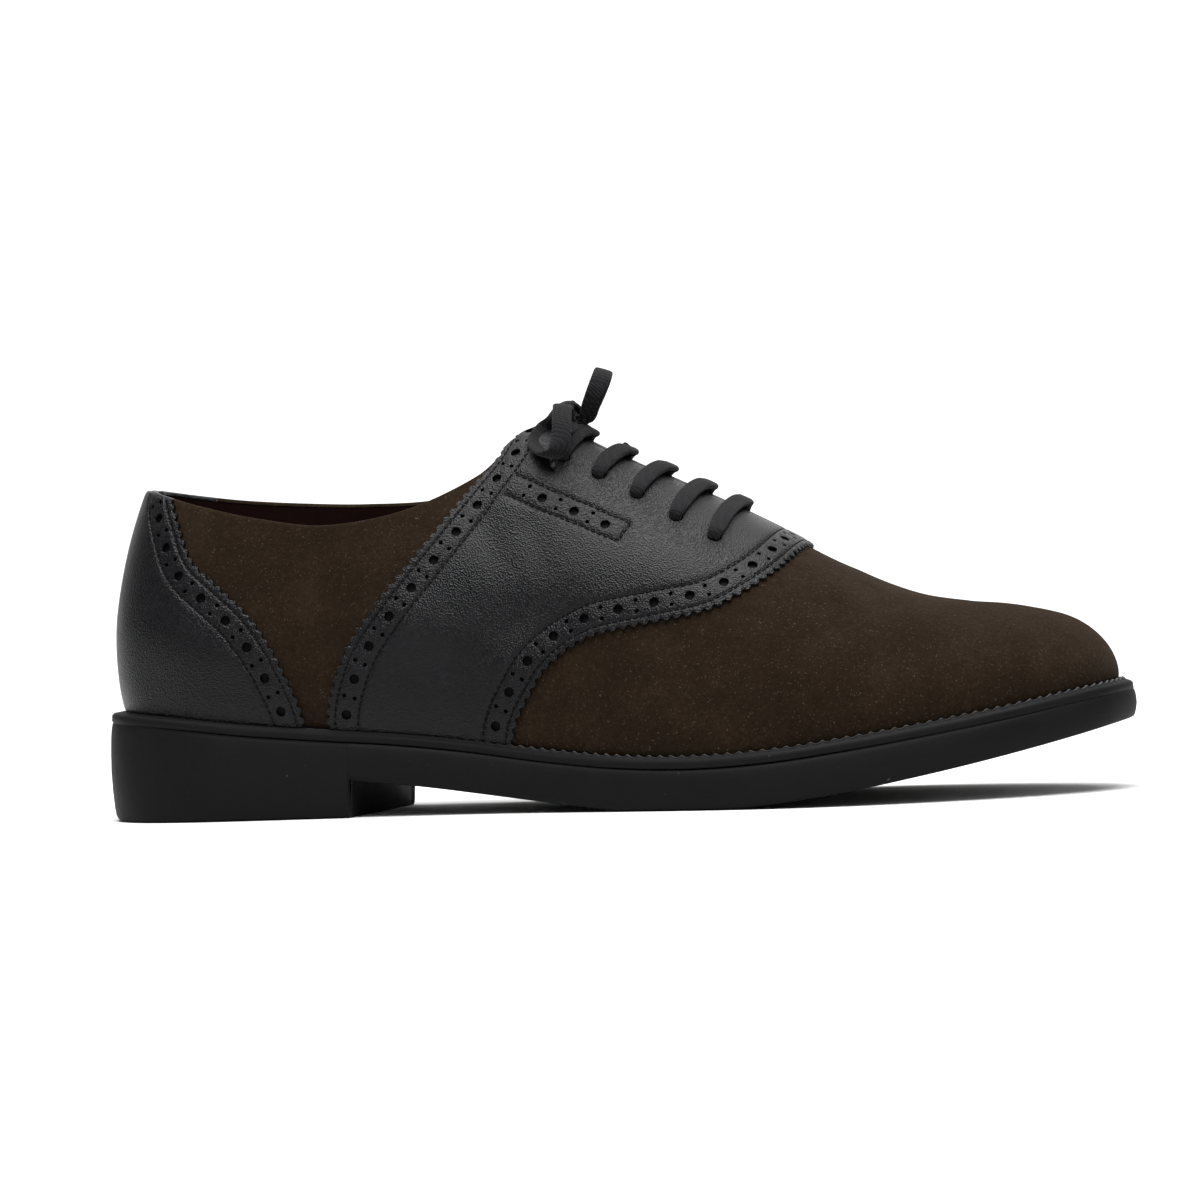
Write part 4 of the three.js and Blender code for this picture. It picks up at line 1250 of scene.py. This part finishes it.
def sole_wall(u, foot):
    """The sole's side wall as rings of points, level after level."""
    top = sole_top(foot[:, 0]) - WELT["thickness"] - GAP
    bottom = under_sole(foot[:, 0], foot[:, 1])
    wall = []
    for depth in SOLE_DEPTHS:
        inset = SOLE_DRAFT * float(on_table(SOLE_WALL, depth))
        inset += SOLE_EDGE["upper"] * math.exp(-depth / SOLE_EDGE["upper_reach"])
        inset += SOLE_EDGE["lower"] * math.exp(-(1 - depth) / SOLE_EDGE["lower_reach"])
        wall.append(loop_points(u, inset, top + (bottom - top) * depth))
    return np.stack(wall, axis=1)


def make_outsole(material):
    """The moulded sole: a side wall with soft edges, the heel and the hollow under the waist."""
    per_row, across, step, reach = 16, 24, 0.01, 0.8
    breast = (row_at(BREAST_X, 1) + row_at(BREAST_X, -1)) / 2
    rows = np.sort(np.append(np.arange(LAST * per_row + 1) / per_row, [breast - step, breast + step]))
    near = np.exp(-((rows - breast) / reach) ** 2)
    medial, lateral = (side_u(rows + near * (row_at(BREAST_X, side) - breast), side) for side in (1, -1))
    u = np.concatenate([medial, lateral[::-1][1:-1]])
    foot = outline_at(u, 0)[0]
    wall = sole_wall(u, foot)
    parts = [(wall.reshape(-1, 3), grid_faces(len(u), len(SOLE_DEPTHS), wraps=True, flip=True))]
    count = len(rows)
    share = np.linspace(0, 1, across)
    for level, flip in ((0, True), (-1, False)):
        medial, lateral = halves(wall[:, level], count)
        field = medial[:, None] + (lateral - medial)[:, None] * share[:, None]
        if level == -1:
            medial_x, lateral_x = halves(foot[:, 0], count)
            foot_x = medial_x[:, None] * (1 - share) + lateral_x[:, None] * share
            field[:, 1:-1, 2] = under_sole(foot_x, field[..., 1])[:, 1:-1]
        parts.append((field.reshape(-1, 3), grid_faces(count, across, flip=flip)))
    settle(make_mesh("moulded_outsole", *joined(parts), material, weld=0.01), "rubber", "outsole")


def strip_grid(rows, rise, rises, depth):
    """A grid over the top of the foot, from a rise on the medial side to the same on the other."""
    u, v = np.meshgrid(rows, np.linspace(rise, 1, rises), indexing="ij")
    medial, lateral = (upper_at(at, v) - frames_at(at, v)[2] * depth for at in (u, TURN - u))
    return np.concatenate([medial, lateral[:, ::-1]], axis=1)


# The tongue's rows and rise, and how much smaller its two faces are than its middle
TONGUE = {
    "rows": (8.02, 11.25), "rise": 0.73, "depth": 2.85, "thickness": 1.8, "row_inset": 0.0175,
    "rise_inset": 0.007, "grid": (60, 24),
}


def make_tongue(material):
    """The tongue under the facings, with soft edges."""
    rows = np.linspace(*TONGUE["rows"], TONGUE["grid"][0])
    layers = []
    for share in (0, 0.25, 0.75, 1):
        face = share in (0, 1)
        low, high = TONGUE["rows"]
        inner_rows = np.clip(rows, low + face * TONGUE["row_inset"], high - face * TONGUE["row_inset"])
        rise = TONGUE["rise"] + face * TONGUE["rise_inset"]
        depth = TONGUE["depth"] + share * TONGUE["thickness"]
        layers.append(strip_grid(inner_rows, rise, TONGUE["grid"][1], depth))
    width, height = layers[0].shape[:2]
    size = width * height
    faces = grid_faces(width, height)
    faces += [tuple(i + 3 * size for i in face[::-1]) for face in faces]
    rim = [i * height for i in range(width)] + [(width - 1) * height + k for k in range(1, height)]
    rim += [i * height + height - 1 for i in range(width - 2, -1, -1)] + list(range(height - 2, 0, -1))
    for start in (0, size, 2 * size):
        for a, b in zip(rim, rim[1:] + rim[:1]):
            faces.append((a + start, a + start + size, b + start + size, b + start))
    points = np.concatenate([layer.reshape(-1, 3) for layer in layers])
    settle(make_mesh("tongue_leather", points, faces, material), "leather", "tongue")


def catmull(points, count):
    """Even steps along a smooth curve through points."""
    points = np.asarray(points, dtype=float)
    padded = np.concatenate([[2 * points[0] - points[1]], points, [2 * points[-1] - points[-2]]])
    fine = []
    for i in range(1, len(padded) - 2):
        for share in np.linspace(0, 1, 24, endpoint=False):
            fine.append(smooth(padded[i - 1], padded[i], padded[i + 1], padded[i + 2], share))
    fine = np.array(fine + [points[-1]])
    run = lengths_of(fine)
    at = np.linspace(0, run[-1], count)
    return np.stack([np.interp(at, run, fine[:, k]) for k in range(points.shape[1])], -1)


def flat_lace(path, sides, widths, thicknesses):
    """A flat lace along a path: sides are the directions of its width."""
    tangents = np.gradient(path, axis=0)
    tangents /= np.linalg.norm(tangents, axis=1, keepdims=True)
    wide = sides - (sides * tangents).sum(-1, keepdims=True) * tangents
    wide /= np.linalg.norm(wide, axis=1, keepdims=True)
    thin = np.cross(tangents, wide)
    turn = np.linspace(0, 2 * math.pi, LACE["sides"], endpoint=False)
    cos, sin = np.cos(turn), np.sin(turn)
    x = np.sign(cos) * np.abs(cos) ** LACE["flat"][0] / 2
    y = np.sign(sin) * np.abs(sin) ** LACE["flat"][1] / 2
    points = (
        path[:, None] + wide[:, None] * (x[None, :] * widths[:, None])[..., None]
        + thin[:, None] * (y[None, :] * thicknesses[:, None])[..., None]
    )
    return points.reshape(-1, 3), tube_faces(len(path), LACE["sides"])


# A bar's dive into an eyelet: steps outwards and downwards
BAR = {
    "lift": 0.95, "arch": 1.5, "reach": 0.11, "thickness": 2.1, "steps": 16, "points": 110,
    "dive": ((1.1, 3.4), (1.25, 1.3), (0.9, 0.35)), "taper": 0.35, "taper_from": 0.8,
}


def make_bars(material):
    """The lace's bars across the throat. Each dives into its eyelets at both ends."""
    for number, (row, lean, rise) in enumerate(EYELETS, 1):
        climb = np.linspace(rise, 1, BAR["steps"])
        v = np.concatenate([climb, climb[::-1][1:]])
        rows = row - lean * (1 - v) / (1 - rise)
        u = np.where(np.arange(len(v)) < BAR["steps"], rows, TURN - rows)
        top = PANEL_BASE + PANEL_THICKNESS + BAR["lift"]
        points = lifted(u, v, top + BAR["arch"] * np.exp(-((1 - v) / BAR["reach"]) ** 2))
        path = points.copy()
        middle = len(v) // 2
        for k in range(middle - 2, middle + 3):
            path[k] = (points[k - 1] + points[k] * 2 + points[k + 1]) / 4
        along, _up, normals = frames_at(u, v)
        dives = []
        for index, inner in ((0, 1), (-1, -2)):
            out = path[index] - path[inner]
            out /= np.linalg.norm(out)
            dives.append([path[index] + out * ahead - normals[index] * down for ahead, down in BAR["dive"]])
        path = np.concatenate([dives[0], path, dives[1][::-1]])
        sides = np.concatenate([np.repeat(along[:1], 3, 0), along, np.repeat(along[-1:], 3, 0)])
        fine = catmull(np.concatenate([path, sides], axis=1), BAR["points"])
        share = np.abs(np.linspace(-1, 1, len(fine)))
        taper = np.clip((share - BAR["taper_from"]) / (1 - BAR["taper_from"]), 0, 1) ** 1.5
        widths = LACE["bar_width"] * (1 - BAR["taper"] * taper)
        thick = np.full(len(fine), BAR["thickness"])
        shape = flat_lace(fine[:, :3], fine[:, 3:], widths, thick)
        settle(make_mesh(f"bar_{number}", *shape, material), "lace", f"lace_bar_{number}")


# The knot's two turns of lace: tilt, roll, size and shift of each, and the half sizes of its core
KNOT = {
    "centre": (142.8, 0.8, 114.4), "steps": 64, "lace": (5.88, 1.7), "ring": (3.784, 0.5, 3.8),
    "turns": ((0.5, 0.35, 1.0, 0.3), (-0.35, 1.25, 0.86, -0.5)), "core": (3.096, 4.368, 2.888),
    "core_grid": (11, 16),
}
# The bow, as listed points
LOOP_TOP = (
    (148.2, -1.4, 113.8), (150.6, -5, 117.3), (152.6, -6.4, 121.6), (153.8, -4.2, 125.4),
    (153.7, 0.8, 127.2), (152.2, 5.8, 125.4), (150.2, 7.6, 121.6), (148.4, 6, 117.3), (147, 3, 113.8),
)
LOOP_FRONT = ((142.4, -6.6, 117), (143.2, -12, 116), (143.9, -17.3, 111.8), (144, -20.6, 106.6))
LOOP_BACK = (
    (142.4, -21.6, 102.9), (138.8, -19.8, 102.4), (135.8, -15.4, 104.8), (135.2, -11, 107.2),
    (136.8, -7, 110.4), (139.4, -5.6, 112.8),
)
END_MEDIAL = (
    (143.2, 7, 112), (142.6, 10.9, 110), (141.8, 15, 106.9), (140.6, 18.5, 102.4), (139, 21.4, 96.9),
    (136.9, 23.8, 91.9), (134.4, 25.9, 87.4),
)
END_LATERAL = ((144, -5.2, 111.6), (143.8, -9, 110.8), (143, -12.6, 108.6))
AGLET_MEDIAL = ((134.2, 26.1, 87), (126.2, 30.4, 73.7))
AGLET_LATERAL = ((142.86, -13.2, 108.2), (141.4, -20.8, 98.6))
INSIDE_KNOT = {
    "top": ((144.2, 1.2, 114.6),), "side": ((143.4, -3, 114.8),), "medial": ((143.2, 3.4, 113.6),),
    "lateral": ((143.6, -1.6, 112.9),), "back": ((141.5, -2.4, 116.2),),
}


# How a lace narrows in the knot and at its tip
PINCH = {"reach": 5.5, "knot": 0.45, "tip_from": 0.97, "tip": 0.6, "thicker": 0.25}


def cord_lace(name, stretches, material, nodes):
    """A free lace through the knot: listed points with the direction of its width in each stretch."""
    rows = [(*point, *side) for side, points in stretches for point in points]
    fine = catmull(rows, LACE["points"])
    path, sides = fine[:, :3], fine[:, 3:]
    share = np.linspace(0, 1, len(path))
    near = np.exp(-(np.linalg.norm(path - KNOT["centre"], axis=1) / PINCH["reach"]) ** 2)
    tip = np.clip((share - PINCH["tip_from"]) / (1 - PINCH["tip_from"]), 0, 1)
    widths = LACE["width"] * (1 - PINCH["knot"] * near) * (1 - PINCH["tip"] * tip)
    thick = LACE["thickness"] * (1 + PINCH["thicker"] * tip)
    piece = make_mesh(name, *flat_lace(path, sides, widths, thick), material)
    settle(piece, "lace", *nodes)
    route = [tuple(in_frame(p)) for p in catmull(path, LACE["route_points"])]


# An aglet's profile holds shares of its length and its radius in millimetres
AGLET = {
    "sides": 14,
    "profile": (
        (-0.06, 0.9), (0.0, 1.12), (0.03, 1.2), (0.06, 1.15), (0.1, 1.05), (0.5, 1.0), (0.9, 0.95),
        (0.97, 0.85), (1.0, 0.45),
    ),
}


def make_aglet(name, ends, material, solid):
    """A lace's tip: a slim pressed sleeve with round ends."""
    start, end = np.array(ends)
    way = end - start
    side = np.cross(way, (0, 0, 1.0))
    side /= np.linalg.norm(side)
    ring = spokes(side, np.cross(way / np.linalg.norm(way), side), AGLET["sides"])
    points = np.concatenate([start + way * share + ring * radius for share, radius in AGLET["profile"]])
    piece = make_mesh(name, points, tube_faces(len(AGLET["profile"]), AGLET["sides"]), material)
    settle(piece, "aglet", solid)
    return piece


def tilted(tilt, roll):
    """A turn about z by roll and then about y by tilt."""
    cos, sin = math.cos(roll), math.sin(roll)
    about_z = np.array(((cos, -sin, 0), (sin, cos, 0), (0, 0, 1)))
    cos, sin = math.cos(tilt), math.sin(tilt)
    return np.array(((cos, 0, sin), (0, 1, 0), (-sin, 0, cos))) @ about_z


def make_knot(material):
    """The knot: two turns of lace pulled tight round the crossing, over a rounded core."""
    steps = KNOT["steps"]
    length, wave, height = KNOT["ring"]
    turn = np.linspace(0, 2 * math.pi, steps)
    parts = []
    for tilt, roll, size, shift in KNOT["turns"]:
        ring = np.stack([
            np.cos(turn) * length * size, shift + np.sin(turn * 2) * wave, np.sin(turn) * height * size,
        ], -1)
        matrix = tilted(tilt, roll)
        side = np.repeat([matrix @ (0, 1, 0)], steps, axis=0)
        widths, thick = (np.full(steps, value) for value in KNOT["lace"])
        parts.append(flat_lace(ring @ matrix.T + KNOT["centre"], side, widths, thick))
    length, width, height = KNOT["core"]
    rings, sides = KNOT["core_grid"]
    ring = spokes(np.array((length, 0, 0)), np.array((0, 0, height)), sides)
    core = []
    for rise in np.linspace(0, math.pi, rings):
        core.append(KNOT["centre"] + math.sin(rise) * ring + (0, math.cos(rise) * width, 0))
    parts.append((np.concatenate(core), tube_faces(rings, sides, capped=False)))
    settle(make_mesh("bow_knot", *joined(parts), material, weld=0.001), "lace", "lace_knot")


def make_bow(material, tip):
    """The bow: two laces, each with one loop and one end, through the knot."""
    medial = make_aglet("tip_medial", AGLET_MEDIAL, tip, "aglet_medial")
    lateral = make_aglet("tip_lateral", AGLET_LATERAL, tip, "aglet_lateral")
    cord_lace("lace_upright", (
        ((0.95, 0, -0.32), INSIDE_KNOT["top"] + LOOP_TOP),
        ((1, 0.1, -0.35), INSIDE_KNOT["medial"]),
        ((1, 0, -0.35), END_MEDIAL),
    ), material, ("lace_loop_top", "lace_end_medial"))
    cord_lace("lace_near", (
        ((1, 0.15, -0.1), INSIDE_KNOT["side"] + LOOP_FRONT),
        ((0.7, 0.6, -0.25), LOOP_BACK),
        ((0.8, 0.3, -0.3), INSIDE_KNOT["back"]),
        ((1, 0, -0.4), INSIDE_KNOT["lateral"] + END_LATERAL),
    ), material, ("lace_loop_side", "lace_end_lateral"))


def main():
    """The studio and the shoe's pieces."""
    make_camera()
    make_studio()
    lace, tip = lace_material(), aglet_material()
    leather, suede, rubber = leather_material(), suede_material(), rubber_material()
    lining, thread = lining_material(), thread_material()
    make_bow(lace, tip)
    make_knot(lace)
    make_bars(lace)
    make_shell(suede, leather)
    make_lining(lining)
    make_panel("leather_saddle", "saddle", saddle_side, saddle_joint, leather, thread)
    make_panel("heel_counter", "counter", counter_side, counter_joint, leather, thread)
    make_welt(rubber, highlit_rubber_material())
    make_outsole(rubber)
    make_tongue(leather)
    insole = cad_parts["insole"]
    insole.data.materials.clear()
    insole.data.materials.append(lining)


main()
